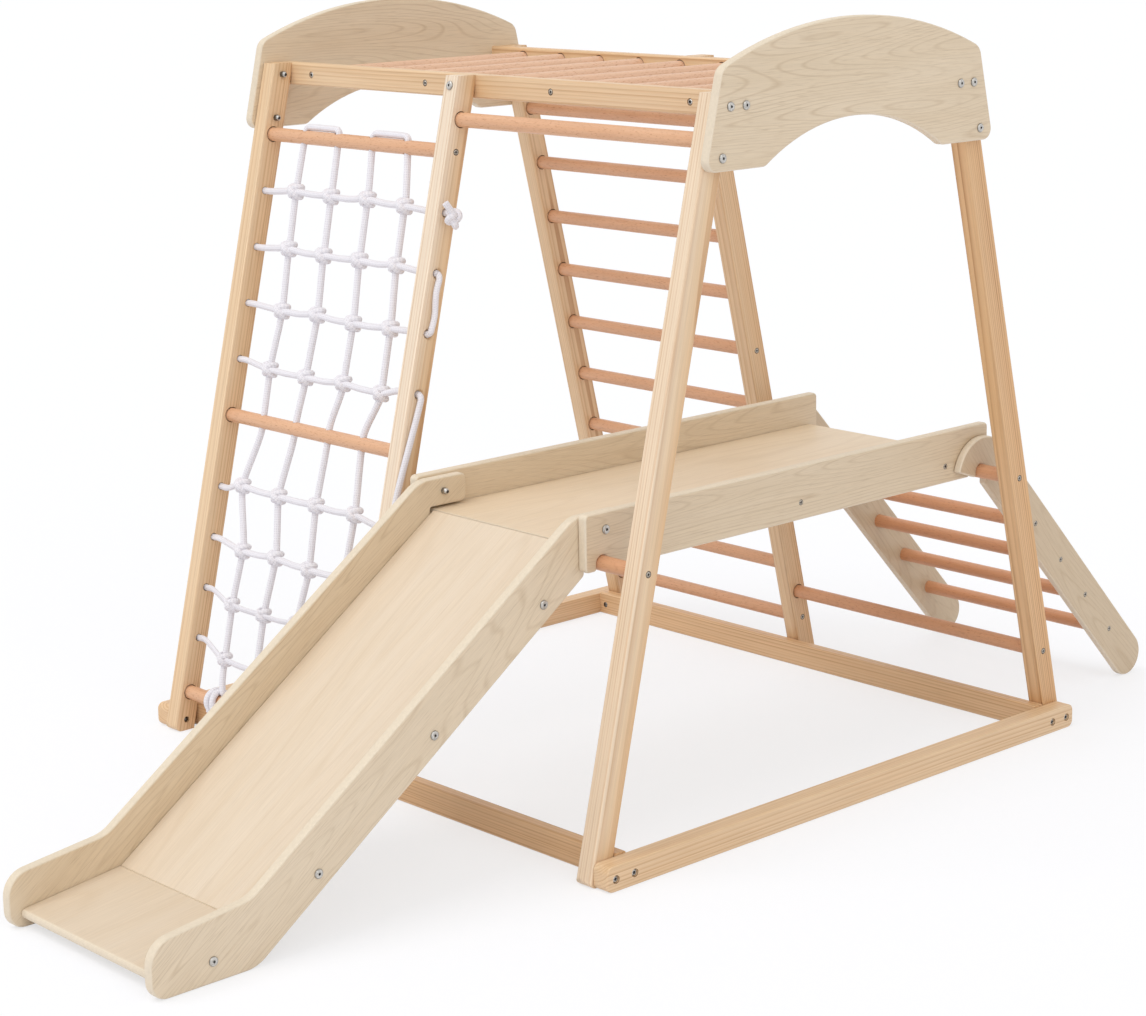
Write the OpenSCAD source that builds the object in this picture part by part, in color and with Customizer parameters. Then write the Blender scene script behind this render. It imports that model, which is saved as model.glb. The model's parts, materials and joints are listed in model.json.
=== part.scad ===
// Wooden climbing frame with net, platform, slide and step ladder
// X runs along the top rails, the slide points to -Y, the floor is z = 0

/* [Frame] */
// width over the outer faces of the corner legs
frame_w = 1140; // [1060:5:1240]
// depth over the feet of the legs
frame_d = 1183; // [1140:1:1240]
// height of the leg tops and top rails
frame_h = 1200; // [1170:1:1240]
// lean of every leg from upright, degrees
lean = 13.3; // [12:0.1:14]
// thickness of a leg along the rails
leg_t = 33; // [30:0.5:40]
// depth of a leg across its lean
leg_d = 43; // [38:0.5:48]
// rounding of the long edges of legs and rails
edge_r = 4; // [2:0.5:6]
// rounding of the outer corner of a foot
foot_r = 12; // [4:0.5:14]
// position of the middle legs along the rails
mid_x = -43; // [-60:1:-20]

/* [Rails] */
// thickness of the left and right ground rails
side_rail_t = 33; // [28:0.5:40]
// height of the left and right ground rails
side_rail_h = 42; // [38:0.5:48]
// rounding of the ends of the left and right ground rails
side_rail_r = 12; // [6:0.5:18]
// distance of the ends of these rails inside the feet
side_rail_in = 8.5; // [2:0.5:20]
// thickness of the front and back ground rails
cross_rail_t = 24; // [20:0.5:30]
// height of the front and back ground rails
cross_rail_h = 45; // [40:0.5:50]
// thickness of the top rails
top_rail_t = 24; // [22:0.5:28]
// height of the top rails
top_rail_h = 40; // [36:0.5:50]

/* [Rungs and bars] */
// diameter of every rung and monkey bar
rung_d = 25; // [22:0.5:28]
// depth of the blind sockets in the legs
socket_depth = 12; // [8:0.5:15]
// depth of the blind sockets in the top rails
bar_socket = 12; // [8:0.5:14]
// number of monkey bars
bar_count = 10;
// distance of the end bars from the rail ends
bar_in = 90.3; // [80:0.1:110]
// number of rungs of the back ladder
ladder_count = 10;
// depth of the highest ladder rung below the leg tops
ladder_drop = 123; // [110:1:140]
// height of the lowest ladder rung
ladder_low_z = 89; // [80:1:100]
// height of the rungs that carry the platform, as a share of the leg height
carry_share = 0.397; // [0.38:0.001:0.41]
// height of the low rung in the back
back_low_z = 144; // [120:1:170]
// depth of the rung over the platform below the leg tops
front_top_drop = 73; // [66:1:90]
// depth of the top rung of the net below the leg tops
net_top_drop = 126.5; // [110:0.5:140]
// height of the bottom rung of the net
net_low_z = 70; // [64:1:80]

/* [Arch panels] */
// thickness of an arch panel
arch_t = 18; // [15:0.5:22]
// height of the crown above the top rails
arch_rise = 103; // [90:1:120]
// depth of the lower edge below the rail tops
arch_drop = 118; // [112:1:126]
// radius of the crown
arch_top_r = 760; // [700:5:820]
// overhang of the panel past the outer faces of the legs
arch_over = 8.5; // [6:0.5:12]
// rounding of the upper corners
arch_shoulder_r = 25; // [15:1:35]
// rounding of the lower corners
arch_corner_r = 18; // [10:1:24]
// width of the panel's feet beside the cut-out
arch_foot_w = 132; // [110:1:150]
// rise of the cut-out above the lower edge
arch_cut_rise = 64; // [55:1:72]
// rounding where the cut-out meets the lower edge
arch_lip_r = 20; // [10:1:30]
// height of the lower leg bolts above the lower edge
arch_bolt_low = 21; // [18:1:26]

/* [Net] */
// diameter of the rope
rope_d = 12; // [10:0.5:13]
// widest diameter of a knot
knot_d = 25; // [22:0.5:28]
// columns of hanging rope
net_columns = 4;
// rows of cross rope above and below the middle rung
net_rows = 4;
// first row and spacing below the middle rung, as shares of the way to the bottom rung
row_low_shares = [0.257, 0.182];
// sag of the knots of each row below its leg holes
row_sag = [-5, -3, 2, 8, -9, 8, 17, 24];
// shift of the first and the last knot of each row along the row
row_shift = [[-3, 17], [1, 19], [8, 28], [-2, 30], [-31, 8], [-3, 4], [-10, -10], [-8, -8]];
// height of the tying knots above the bottom rung
tie_h = 34; // [30:1:40]
// droop of the end knots below their holes, in degrees
knot_droop = 30; // [20:1:40]
// length of the rope's tail, from the middle of its end knot
rope_end_len = 33; // [26:1:40]

/* [Platform] */
// gap between the platform sides and the legs
platform_in = 68.25; // [50:0.25:80]
// thickness of the platform sides
platform_t = 18; // [15:0.5:20]
// length of the platform sides past the carrying rungs
platform_over = 36.2; // [30:0.2:45]
// height of the platform sides
platform_h = 93; // [88:1:100]
// depth of the sides below the middle of the rungs
platform_drop = 11.5; // [8:0.5:20]
// rounding of the corners of the platform sides
platform_r = 8; // [5:1:20]
// length of the deck past the carrying rungs
deck_over = 13.2; // [12:0.2:16]
// thickness of the deck
deck_t = 12; // [10:0.5:15]

/* [Slide] */
// slope of the slide bed, degrees
slide_angle = 35; // [33:0.1:37]
// slope of the run-out, degrees
runout_angle = 7; // [4:0.5:9]
// height of the bed where the run-out starts
runout_z = 52; // [46:1:60]
// length of the slide sides past the start of the run-out
runout_len = 197; // [180:1:220]
// thickness of the bed and the run-out
bed_t = 15; // [12:0.5:16]
// thickness of the slide sides
slide_t = 18; // [15:0.5:20]
// height of the sides above the bed, square to it
slide_up = 57; // [50:0.5:64]
// depth of the sides below the bed top, square to it
slide_down = 34; // [30:0.5:38]
// height of the pivot bolts above the deck
pivot_h = 28.5; // [24:0.5:32]
// distance of the pivot bolts behind the front edge of the deck
pivot_back = 20; // [16:0.5:26]
// length of the slide tail behind the pivot bolts
tail_len = 49; // [40:0.5:56]
// height of the tail above the deck
tail_h = 52; // [48:0.5:56]
// clearance under the tail, which sets how far the toes lift
tail_gap = 4; // [4:0.5:6]
// gap between the deck and the upper end of the bed
bed_gap = 4.5; // [3:0.5:8]
// soft bends of the slide sides
bend_r = 60; // [40:1:80]
// distance of the first slide bolt from the upper end of the bed
bolt_first = 92; // [80:1:110]
// rounding of the toe
toe_r = 40; // [30:1:46]

/* [Step ladder] */
// slope of the step ladder, degrees
step_angle = 46.6; // [44:0.1:50]
// width of the step ladder sides
step_w = 80; // [74:1:90]
// thickness of the step ladder sides
step_t = 15; // [12:0.5:18]
// distance of the sides' middle line from the carrying rung
step_off = 31.4; // [28:0.2:36]
// distance of the first step rung from the carrying rung
step_first = 201.4; // [180:1:220]
// distance of the last step rung from the foot
step_low = 88; // [80:0.5:100]
// number of step rungs
step_count = 4;
// distance of the hook's round middle down the ladder
hook_s = 14; // [10:0.5:18]
// height of the hook lip's inner corner below the rung middle
lip_drop = 10.5; // [6:0.5:12]
// slope of the lip's lower edge, degrees
lip_angle = 19; // [10:1:30]

/* [Fasteners] */
// diameter of the bolts
bolt_d = 6; // [5:0.5:6]
// diameter of the bolt heads
head_d = 15; // [13:0.5:16]
// height of the bolt heads
head_h = 3; // [2:0.25:4]
// width of the hexagon sockets
hex_w = 4; // [3:0.5:5]
// depth of the counterbores in the ground rails
bore_depth = 5; // [4:0.5:8]
// diameter of the bolt heads in the counterbores
sunk_head_d = 11; // [10:0.5:12]
// height of the ground rail bolts
ground_bolt_z = 20; // [18:0.5:24]
// diameter of the barrel nuts
barrel_d = 10; // [9:0.5:11]
// distance of the barrel nuts from the rail ends
barrel_inset = 17; // [15:0.5:20]
// diameter of the cap nuts
cap_d = 11; // [10:0.5:12]
// diameter of the screws
screw_d = 4; // [3.5:0.25:4.5]
// diameter of the screw heads
screw_head_d = 10; // [8:0.5:11]
// length of the screws
screw_len = 40; // [36:1:45]

/* [Hidden] */
$fn = 64;
// gap between fixed pieces, and between pieces that move past each other
fit = 0.1;
run_gap = 0.3;
overrun = 5;
// shares of a size used for small details
half_share = 0.5;
recess_share = 0.6;
hex_flat_share = 0.866;
nose_share = 0.45;
deck_screw_share = 0.4;
bolt_step_share = 0.41;
ease_share = 0.4;
barrel_share = 0.8;
mid_bolt_shares = [0.4, 0.75];
grip_share = 0.8;
bend_share = 0.8;
knot_end_share = 0.64;
knot_waist_shares = [0.38, 0.44];
tie_share = 1.1;
tail_share = 0.25;
toe_low_share = 0.7;
long_share = 1.2;
sleeve_shares = [0.8, 0.85];
seed_dir = [0.3, 1, 0.2];
thread_share = 1.07;
rope_sides = 6;
arc_steps = 8;
crown_steps = 24;
tie_steps = 24;

leg_y_t = leg_d / cos(lean);
half_w = frame_w / 2;
inner_x = half_w - leg_t;
mid_left = mid_x - leg_t / 2;
mid_right = mid_x + leg_t / 2;
function leg_outer(z) = frame_d / 2 - z * tan(lean);
function leg_mid(z) = leg_outer(z) - leg_y_t / 2;
function leg_inner(z) = leg_outer(z) - leg_y_t;

rail_mid_z = frame_h - top_rail_h / 2;
rail_out_y = leg_inner(rail_mid_z) + fit;
rail_mid_y = rail_out_y - top_rail_t / 2;
cross_out_y = leg_inner(cross_rail_h) - fit;
cross_mid_y = cross_out_y - cross_rail_t / 2;
arch_low_z = frame_h - arch_drop;
arch_bolt_z = arch_low_z + arch_bolt_low;
panel_x = half_w + arch_t;
side_rail_x = half_w + side_rail_t;

bar_pitch = (frame_w - 2 * bar_in) / (bar_count - 1);
function bar_x(i) = (i - (bar_count + 1) / 2) * bar_pitch;
ladder_top_z = frame_h - ladder_drop;
ladder_pitch = (ladder_top_z - ladder_low_z) / (ladder_count - 1);
function ladder_z(i) = ladder_top_z - (i - 1) * ladder_pitch;

carry_z = frame_h * carry_share;
front_top_z = frame_h - front_top_drop;
net_top_z = frame_h - net_top_drop;
net_mid_z = (net_top_z + net_low_z) / 2;

// each rung as side of the frame, left face, right face, height
net_rung_list = [
    [-1, -inner_x, mid_left, net_top_z],
    [-1, -inner_x, mid_left, net_mid_z],
    [-1, -inner_x, mid_left, net_low_z]
];
front_top_at = [-1, mid_right, inner_x, front_top_z];
front_carry_at = [-1, mid_right, inner_x, carry_z];
back_carry_at = [1, mid_right, inner_x, carry_z];
back_low_at = [1, mid_right, inner_x, back_low_z];
function ladder_at(i) = [1, -inner_x, mid_left, ladder_z(i)];
rung_list = concat(
    net_rung_list,
    [front_top_at, front_carry_at, back_carry_at, back_low_at],
    [for (i = [1:ladder_count]) ladder_at(i)]
);
// each rung screw as side of the frame, face, direction into the leg, height
screwed_ladder = [ladder_count / 2, ladder_count];
rung_screw_list = concat(
    [for (r = [front_carry_at, back_carry_at, back_low_at]) [r[0], half_w, -1, r[3]]],
    [for (r = [front_carry_at, back_carry_at, back_low_at]) [r[0], mid_left, 1, r[3]]],
    [for (i = screwed_ladder) [1, mid_right, -1, ladder_z(i)]],
    [[-1, mid_right, -1, net_top_z]],
    [for (i = screwed_ladder) [1, -half_w, 1, ladder_z(i)]]
);
bolted_bars = [1, bar_count];
screwed_bars = [4, bar_count - 3];

// platform, slide and step ladder in the right bay
bay_mid = (mid_right + inner_x) / 2;
platform_w = inner_x - mid_right - 2 * (platform_in + platform_t);
carry_y = leg_mid(carry_z);
platform_len = 2 * (carry_y + platform_over);
deck_len = 2 * (carry_y + deck_over);
deck_low = carry_z + rung_d / 2 + run_gap;
deck_top = deck_low + deck_t;
platform_low = carry_z - platform_drop;
notch_r = rung_d / 2 + run_gap;
deck_front = -deck_len / 2;
deck_screw_y = [for (k = [-1:1]) k * deck_len * deck_screw_share];
bed_end = deck_front - bed_gap;
pivot_y = deck_front + pivot_back;
pivot_z = deck_top + pivot_h;
function bed_z(y) = deck_top + (y - bed_end) * tan(slide_angle);
runout_y = bed_end - (deck_top - runout_z) / tan(slide_angle);
function runout_top(y) = runout_z + (y - runout_y) * tan(runout_angle);
toe_y = runout_y - runout_len;
slide_gap_w = platform_w - 2 * run_gap - 2 * slide_t;
bolt_step = (bed_end - bolt_first - runout_y) * bolt_step_share;
slide_bolt_y = [for (k = [0:2]) bed_end - bolt_first - k * bolt_step];
runout_bolt_y = runout_y - bolt_first;

step_foot_s = (carry_z + step_off * cos(step_angle) - step_w / 2) / sin(step_angle);
step_pitch = (step_foot_s - step_low - step_first) / (step_count - 1);
step_out = carry_y + step_foot_s * cos(step_angle) + step_off * sin(step_angle) + step_w / 2;
step_in_w = platform_w + 2 * platform_t + 4 * run_gap;
step_socket = step_t * recess_share;
function step_pos(s, n) = [
    s * cos(step_angle) + n * sin(step_angle),
    n * cos(step_angle) - s * sin(step_angle)
];

// the origin sits under the middle of the whole object
shift_y = -(toe_y + step_out) / 2;

pine = [0.88, 0.75, 0.53];
beech = [0.80, 0.61, 0.44];
ply = [0.85, 0.74, 0.58];
white_rope = [0.93, 0.92, 0.93];
steel = [0.72, 0.73, 0.75];
dark_steel = [0.46, 0.43, 0.40];

// outlines with rounded corners, each corner given as place and radius
function corner(p, c, q, r) =
    let (
        a = (p - c) / norm(p - c),
        b = (q - c) / norm(q - c),
        h = acos(a * b) / 2,
        m = c + (a + b) / norm(a + b) * r / sin(h),
        s = c + a * r / tan(h) - m,
        e = c + b * r / tan(h) - m,
        s_ang = atan2(s[1], s[0]),
        sweep = (atan2(e[1], e[0]) - s_ang + 540) % 360 - 180
    )
    [for (k = [0:arc_steps])
        m + r * [cos(s_ang + sweep * k / arc_steps), sin(s_ang + sweep * k / arc_steps)]];
function flat(p) = [p[0], p[1]];
function rounded(list) = [
    for (i = [0:len(list) - 1])
        let (
            n = len(list),
            p = flat(list[(i + n - 1) % n]),
            c = flat(list[i]),
            q = flat(list[(i + 1) % n])
        )
        each (list[i][2] > 0 ? corner(p, c, q, list[i][2]) : [c])
];

// a flat outline in Y and Z, given thickness along X from x
module upright(x, t) {
    translate([x, 0, 0])
        rotate([90, 0, 90])
            linear_extrude(t)
                children();
}

// a bar along Z with rounded long edges
module bar(w, d, h, r) {
    linear_extrude(h)
        union() {
            square([w - 2 * r, d], center = true);
            square([w, d - 2 * r], center = true);
            for (sx = [-1, 1], sy = [-1, 1])
                translate([sx * (w / 2 - r), sy * (d / 2 - r)])
                    circle(r);
        }
}

// a bar along X with rounded long edges, from the middle of its length
module bar_along_x(len, t, h, r) {
    translate([-len / 2, 0, 0])
        rotate([90, 0, 90])
            bar(t, h, len, r);
}

// local +Z to the outside of a face across X
module face_x(x, y, z, dir) {
    translate([x, y, z])
        rotate([0, dir * 90, 0])
            children();
}

// local +Z to the outside of a face across Y
module face_y(x, y, z, dir) {
    translate([x, y, z])
        rotate([-dir * 90, 0, 0])
            children();
}

// local +Z square to the leaning outer face of a leg
module face_leg(side, x, z) {
    translate([x, side * leg_outer(z), z])
        rotate([-side * (90 - lean), 0, 0])
            children();
}

// a bolt with its head on z = 0 and its shank below
module bolt(len, d) {
    difference() {
        union() {
            cylinder(d = d, h = head_h * half_share);
            translate([0, 0, head_h * half_share])
                cylinder(d1 = d, d2 = d - head_h, h = head_h * half_share);
            translate([0, 0, -len])
                cylinder(d = bolt_d, h = len + head_h * half_share);
        }
        translate([0, 0, head_h * (1 - recess_share)])
            cylinder(d = hex_w / hex_flat_share, h = head_h, $fn = 6);
    }
}

module bolt_hole(len) {
    translate([0, 0, -len])
        cylinder(d = bolt_d * thread_share, h = len + overrun);
}

// a countersunk screw with its head flush at z = 0
module screw() {
    cone_h = (screw_head_d - screw_d) / 2;
    difference() {
        union() {
            translate([0, 0, -cone_h])
                cylinder(d1 = screw_d, d2 = screw_head_d, h = cone_h);
            translate([0, 0, -screw_len])
                cylinder(d = screw_d, h = screw_len - cone_h * half_share);
        }
        translate([0, 0, -cone_h * recess_share])
            cylinder(d = screw_d * recess_share, h = cone_h, $fn = 6);
    }
}

module screw_hole() {
    d = screw_head_d + 2 * fit;
    cone_h = (screw_head_d - screw_d) / 2;
    translate([0, 0, -cone_h])
        cylinder(d1 = d - 2 * cone_h, d2 = d, h = cone_h);
    cylinder(d = d, h = overrun);
    translate([0, 0, -screw_len - fit])
        cylinder(d = screw_d + 2 * fit, h = screw_len);
}

// a domed nut with its seat on z = 0 and its dome above
module cap_nut() {
    difference() {
        union() {
            cylinder(d = cap_d, h = cap_d * half_share);
            translate([0, 0, cap_d * half_share])
                sphere(d = cap_d);
        }
        translate([0, 0, -overrun])
            cylinder(d = bolt_d * thread_share, h = overrun + cap_d * recess_share);
    }
}

// hole for the rope, eased where the rope bends over the rim
module rope_hole(depth, eased_low, eased_high) {
    ease = rope_d * ease_share;
    r = rope_d / 2 + run_gap;
    translate([0, 0, -depth / 2 - overrun])
        cylinder(r = r, h = depth + 2 * overrun);
    if (eased_high)
        translate([0, 0, depth / 2 - ease])
            cylinder(r1 = r, r2 = r + ease + overrun, h = ease + overrun);
    if (eased_low)
        translate([0, 0, -depth / 2 - overrun])
            cylinder(r1 = r + ease + overrun, r2 = r, h = ease + overrun);
}

// ground rails
module side_rail(side) {
    y = frame_d / 2 - side_rail_in;
    z = side_rail_h;
    r = side_rail_r;
    difference() {
        upright(side > 0 ? half_w + fit : -side_rail_x, side_rail_t - fit)
            polygon(rounded([[-y, 0, r], [y, 0, r], [y, z, r], [-y, z, r]]));
        for (sy = [-1, 1], by = [leg_mid(ground_bolt_z), cross_mid_y])
            face_x(side * side_rail_x, sy * by, ground_bolt_z, side) {
                bolt_hole(side_rail_t + overrun);
                translate([0, 0, -bore_depth])
                    cylinder(d = sunk_head_d + head_h * half_share, h = bore_depth + overrun);
            }
    }
}

module cross_rail(side) {
    difference() {
        translate([0, side * cross_mid_y, cross_rail_h / 2])
            bar_along_x(frame_w, cross_rail_t, cross_rail_h, edge_r);
        for (sx = [-1, 1]) {
            face_x(sx * half_w, side * cross_mid_y, ground_bolt_z, sx)
                bolt_hole(barrel_inset + 2 * barrel_d);
            face_y(sx * (half_w - barrel_inset), side * (cross_out_y - cross_rail_t), ground_bolt_z, -side)
                translate([0, 0, -cross_rail_t * barrel_share])
                    cylinder(d = barrel_d + 2 * fit, h = cross_rail_t + overrun);
        }
        middle_bolt_holes(side);
    }
}

// legs
module leg_blank(side) {
    reach = leg_d * 2;
    cy = frame_d / 2 - foot_r * tan(lean) - foot_r / cos(lean);
    out = [cos(lean), sin(lean)];
    difference() {
        translate([0, side * leg_mid(0), 0])
            rotate([side * lean, 0, 0])
                translate([0, 0, -leg_d])
                    bar(leg_t, leg_d, frame_h / cos(lean) + 2 * leg_d, edge_r);
        translate([-leg_t, side * leg_mid(0) - reach, -reach])
            cube([2 * leg_t, 2 * reach, reach]);
        translate([-leg_t, side * leg_mid(frame_h) - reach, frame_h])
            cube([2 * leg_t, 2 * reach, reach]);
        translate([-leg_t, side > 0 ? rail_out_y + fit - reach : -rail_out_y - fit, frame_h - top_rail_h])
            cube([2 * leg_t, reach, reach]);
        mirror([0, side > 0 ? 0 : 1, 0])
            upright(-leg_t, 2 * leg_t)
                difference() {
                    polygon([
                        [cy, -overrun],
                        [frame_d / 2 + overrun, -overrun],
                        [cy, foot_r] + (foot_r + overrun) * out,
                        [cy, foot_r]
                    ]);
                    translate([cy, foot_r])
                        circle(foot_r);
                }
    }
}

function touches(x, a) = abs(x - a) < leg_t;

module leg(side, x) {
    difference() {
        translate([x, 0, 0])
            leg_blank(side);
        for (r = rung_list)
            if (r[0] == side && (touches(x, r[1]) || touches(x, r[2])))
                rung_bar(r, fit);
        for (s = rung_screw_list)
            if (s[0] == side && touches(x, s[1]))
                face_x(s[1], side * leg_mid(s[3]), s[3], -s[2])
                    screw_hole();
        children();
    }
}

module corner_leg(side, sx) {
    leg(side, sx * (inner_x + leg_t / 2)) {
        for (z = [rail_mid_z, arch_bolt_z, ground_bolt_z])
            face_x(sx * half_w, side * leg_mid(z), z, sx)
                bolt_hole(leg_t + overrun);
        face_x(sx * inner_x, side * leg_mid(ground_bolt_z), ground_bolt_z, -sx)
            translate([0, 0, -leg_t * half_share])
                cylinder(d = barrel_d + 2 * fit, h = leg_t);
        children();
    }
}

module middle_leg(side) {
    leg(side, mid_x) {
        middle_bolt_holes(side);
        children();
    }
}

// bolts from the middle legs into the top and ground rails
middle_bolt_z = [frame_h - top_rail_h * mid_bolt_shares[0], cross_rail_h * mid_bolt_shares[1]];
middle_bolt_len = leg_d + (top_rail_t - bar_socket) * grip_share;
module middle_bolt_holes(side) {
    for (z = middle_bolt_z)
        face_leg(side, mid_x, z)
            bolt_hole(middle_bolt_len + 2 * fit);
}

// holes for the cross rope in the two legs of the net
module net_leg_holes(x, eased_left, eased_right) {
    for (z = row_z)
        face_x(x, -leg_mid(z), z, 1)
            rope_hole(leg_t, eased_left, eased_right);
}

// top rails
module top_rail(side) {
    difference() {
        translate([0, side * rail_mid_y, rail_mid_z])
            bar_along_x(frame_w, top_rail_t, top_rail_h, edge_r);
        for (i = [1:bar_count])
            monkey_bar_blank(i, fit);
        for (sx = [-1, 1])
            face_x(sx * half_w, side * rail_mid_y, rail_mid_z, sx)
                bolt_hole(rail_bolt_len);
        for (i = bolted_bars)
            face_y(bar_x(i), side * rail_out_y, rail_mid_z, side) {
                bolt_hole(screw_len);
                translate([0, 0, -head_h])
                    cylinder(d = barrel_d + 4 * fit, h = head_h + overrun);
            }
        for (i = screwed_bars)
            face_y(bar_x(i), side * rail_out_y, rail_mid_z, side)
                screw_hole();
        middle_bolt_holes(side);
    }
}

// monkey bars
module monkey_bar_blank(i, grow) {
    len = 2 * (rail_out_y - top_rail_t + bar_socket);
    translate([bar_x(i), len / 2 + grow, rail_mid_z])
        rotate([90, 0, 0])
            cylinder(d = rung_d + 2 * grow, h = len + 2 * grow);
}

module monkey_bar(i) {
    difference() {
        monkey_bar_blank(i, 0);
        for (side = [-1, 1])
            face_y(bar_x(i), side * rail_out_y, rail_mid_z, side) {
                if (len(search(i, bolted_bars)) > 0)
                    bolt_hole(screw_len + fit);
                if (len(search(i, screwed_bars)) > 0)
                    screw_hole();
            }
    }
}

// arch panels
module arch_outline() {
    m = tan(lean);
    k = frame_d / 2 + arch_over;
    top = frame_h + arch_rise;
    c = top - arch_top_r;
    b = k * m + c;
    q = 1 + m * m;
    shoulder_z = (b + sqrt(b * b - q * (k * k + c * c - arch_top_r * arch_top_r))) / q;
    shoulder_y = k - m * shoulder_z;
    crown = asin(shoulder_y / arch_top_r);
    foot_y = k - m * arch_low_z;
    lip_y = foot_y - arch_foot_w;
    cut_r = (lip_y * lip_y + arch_cut_rise * arch_cut_rise) / (2 * arch_cut_rise);
    cut_c = arch_low_z + arch_cut_rise - cut_r;
    cut = asin(lip_y / cut_r);
    polygon(rounded(concat(
        [[foot_y, arch_low_z, arch_corner_r], [shoulder_y, shoulder_z, arch_shoulder_r]],
        [for (i = [1:crown_steps - 1])
            let (a = crown * (1 - 2 * i / crown_steps))
            [arch_top_r * sin(a), c + arch_top_r * cos(a), 0]],
        [[-shoulder_y, shoulder_z, arch_shoulder_r], [-foot_y, arch_low_z, arch_corner_r]],
        [[-lip_y, arch_low_z, arch_lip_r]],
        [for (i = [1:crown_steps - 1])
            let (a = cut * (2 * i / crown_steps - 1))
            [cut_r * sin(a), cut_c + cut_r * cos(a), 0]],
        [[lip_y, arch_low_z, arch_lip_r]]
    )));
}

// places of the arch bolts, as side and height in Y and Z
arch_bolt_list = [
    for (sy = [-1, 1], p = [
        [leg_mid(rail_mid_z), rail_mid_z],
        [leg_mid(arch_bolt_z), arch_bolt_z],
        [rail_mid_y, rail_mid_z]
    ])
        [sy * p[0], p[1]]
];

module arch_panel(sx) {
    difference() {
        upright(sx > 0 ? half_w + fit : -panel_x, arch_t - fit)
            arch_outline();
        for (p = arch_bolt_list)
            face_x(sx * panel_x, p[0], p[1], sx)
                bolt_hole(arch_t + overrun);
    }
}

// rungs in the legs, each with its screw and rope holes
module rung_bar(r, grow) {
    x0 = r[1] - socket_depth - grow + fit;
    x1 = r[2] + socket_depth + grow - fit;
    translate([x0, r[0] * leg_mid(r[3]), r[3]])
        rotate([0, 90, 0])
            cylinder(d = rung_d + 2 * grow, h = x1 - x0);
}

module rung(r) {
    difference() {
        rung_bar(r, 0);
        for (s = rung_screw_list)
            if (s[0] == r[0] && s[3] == r[3])
                face_x(s[1], s[0] * leg_mid(s[3]), s[3], -s[2])
                    screw_hole();
    }
}

module net_rung(i, eased) {
    r = net_rung_list[i];
    difference() {
        rung(r);
        if (i < 2)
            for (x = column_x)
                translate([x, -leg_mid(r[3]), r[3]])
                    rotate([-lean, 0, 0])
                        rope_hole(rung_d, false, eased);
    }
}

// the net, as ropes swept along their real route
column_x = [for (i = [1:net_columns]) -inner_x + (mid_left + inner_x) * i / (net_columns + 1)];
row_z = concat(
    [for (i = [1:net_rows]) net_top_z - (net_top_z - net_mid_z) * i / (net_rows + 1)],
    [for (i = [0:net_rows - 1])
        net_mid_z - (net_mid_z - net_low_z) * (row_low_shares[0] + i * row_low_shares[1])]
);
rope_r = rope_d / 2;
rope_lift = rope_r + run_gap;
bend = rope_d * bend_share;
// distance along the rope and radius of the rings of a knot
knot_rings = [
    [-knot_d * knot_end_share, rope_r],
    [-knot_d * knot_waist_shares[0], knot_d * knot_waist_shares[1]],
    [0, knot_d / 2],
    [knot_d * knot_waist_shares[0], knot_d * knot_waist_shares[1]],
    [knot_d * knot_end_share, rope_r]
];
function plane(x, z, out) = [x, out - leg_mid(z), z];
function ring(p, r) = [p, r];
function back_to_front(list) = [for (i = [len(list) - 1:-1:0]) list[i]];

// place along its row of knot j in row i
function knot_x(i, j) = column_x[j] + row_shift[i][0]
    + (row_shift[i][1] - row_shift[i][0]) * j / (net_columns - 1);
// straight through the hole of a rung
function threaded(x, z) = [
    for (s = [-1, 1])
        ring(plane(x, z + s * (rung_d / 2 + rope_r), 0), rope_r)
];
// hanging strand j from the lowest row up to the top rung
function strand(j) = [
    for (i = [2 * net_rows - 1:-1:0])
        each concat(
            [ring(plane(knot_x(i, j), row_z[i] - row_sag[i], 0), rope_r)],
            i == net_rows ? threaded(column_x[j], net_mid_z)
                : i == 0 ? [threaded(column_x[j], net_top_z)[0]]
                : []
        )
];
// two turns round the bottom rung, ending in a knot above it
function tie(x) = concat(
    [ring(plane(x - rope_r, net_low_z + tie_h - rope_r, 0), rope_r)],
    [for (k = [0:tie_steps])
        let (
            a = 90 + 720 * k / tie_steps,
            w = (rung_d / 2 + rope_lift) / cos(360 / tie_steps),
            dx = rope_d * tie_share * (k / tie_steps - half_share)
        )
        ring(plane(x, net_low_z, 0) + [dx, w * cos(a), w * sin(a)], rope_r)],
    [for (k = knot_rings) ring(plane(x, net_low_z + tie_h + rope_r + k[0], 0), k[1])]
);
// quarter bend from direction a to direction b, both along the net plane or X
function quarter(from, a, b) = [
    for (k = [0:3])
        ring(from + bend * (sin(30 * k) * a + (1 - cos(30 * k)) * b), rope_r)
];
up_dir = [0, sin(lean), cos(lean)];
front_dir = [0, -cos(lean), sin(lean)];
right_dir = [1, 0, 0];
function bight(x0, x1) =
    let (top = plane(0, net_top_z, 0) + (rung_d / 2 + rope_lift - bend) * up_dir)
    concat(
        quarter(top + x0 * right_dir, up_dir, right_dir),
        back_to_front(quarter(top + x1 * right_dir, up_dir, -right_dir))
    );
function hanging_rope(a, b) = concat(
    tie(column_x[a]),
    strand(a),
    bight(column_x[a], column_x[b]),
    back_to_front(strand(b)),
    back_to_front(tie(column_x[b]))
);

// one row of the cross rope from left to right
function row(i) = concat(
    [ring(plane(-inner_x + rope_r, row_z[i], 0), rope_r)],
    [for (j = [0:net_columns - 1], k = knot_rings)
        ring(plane(knot_x(i, j) + k[0], row_z[i] - row_sag[i], 0), k[1])],
    [ring(plane(mid_left - rope_r, row_z[i], 0), rope_r)]
);
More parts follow.
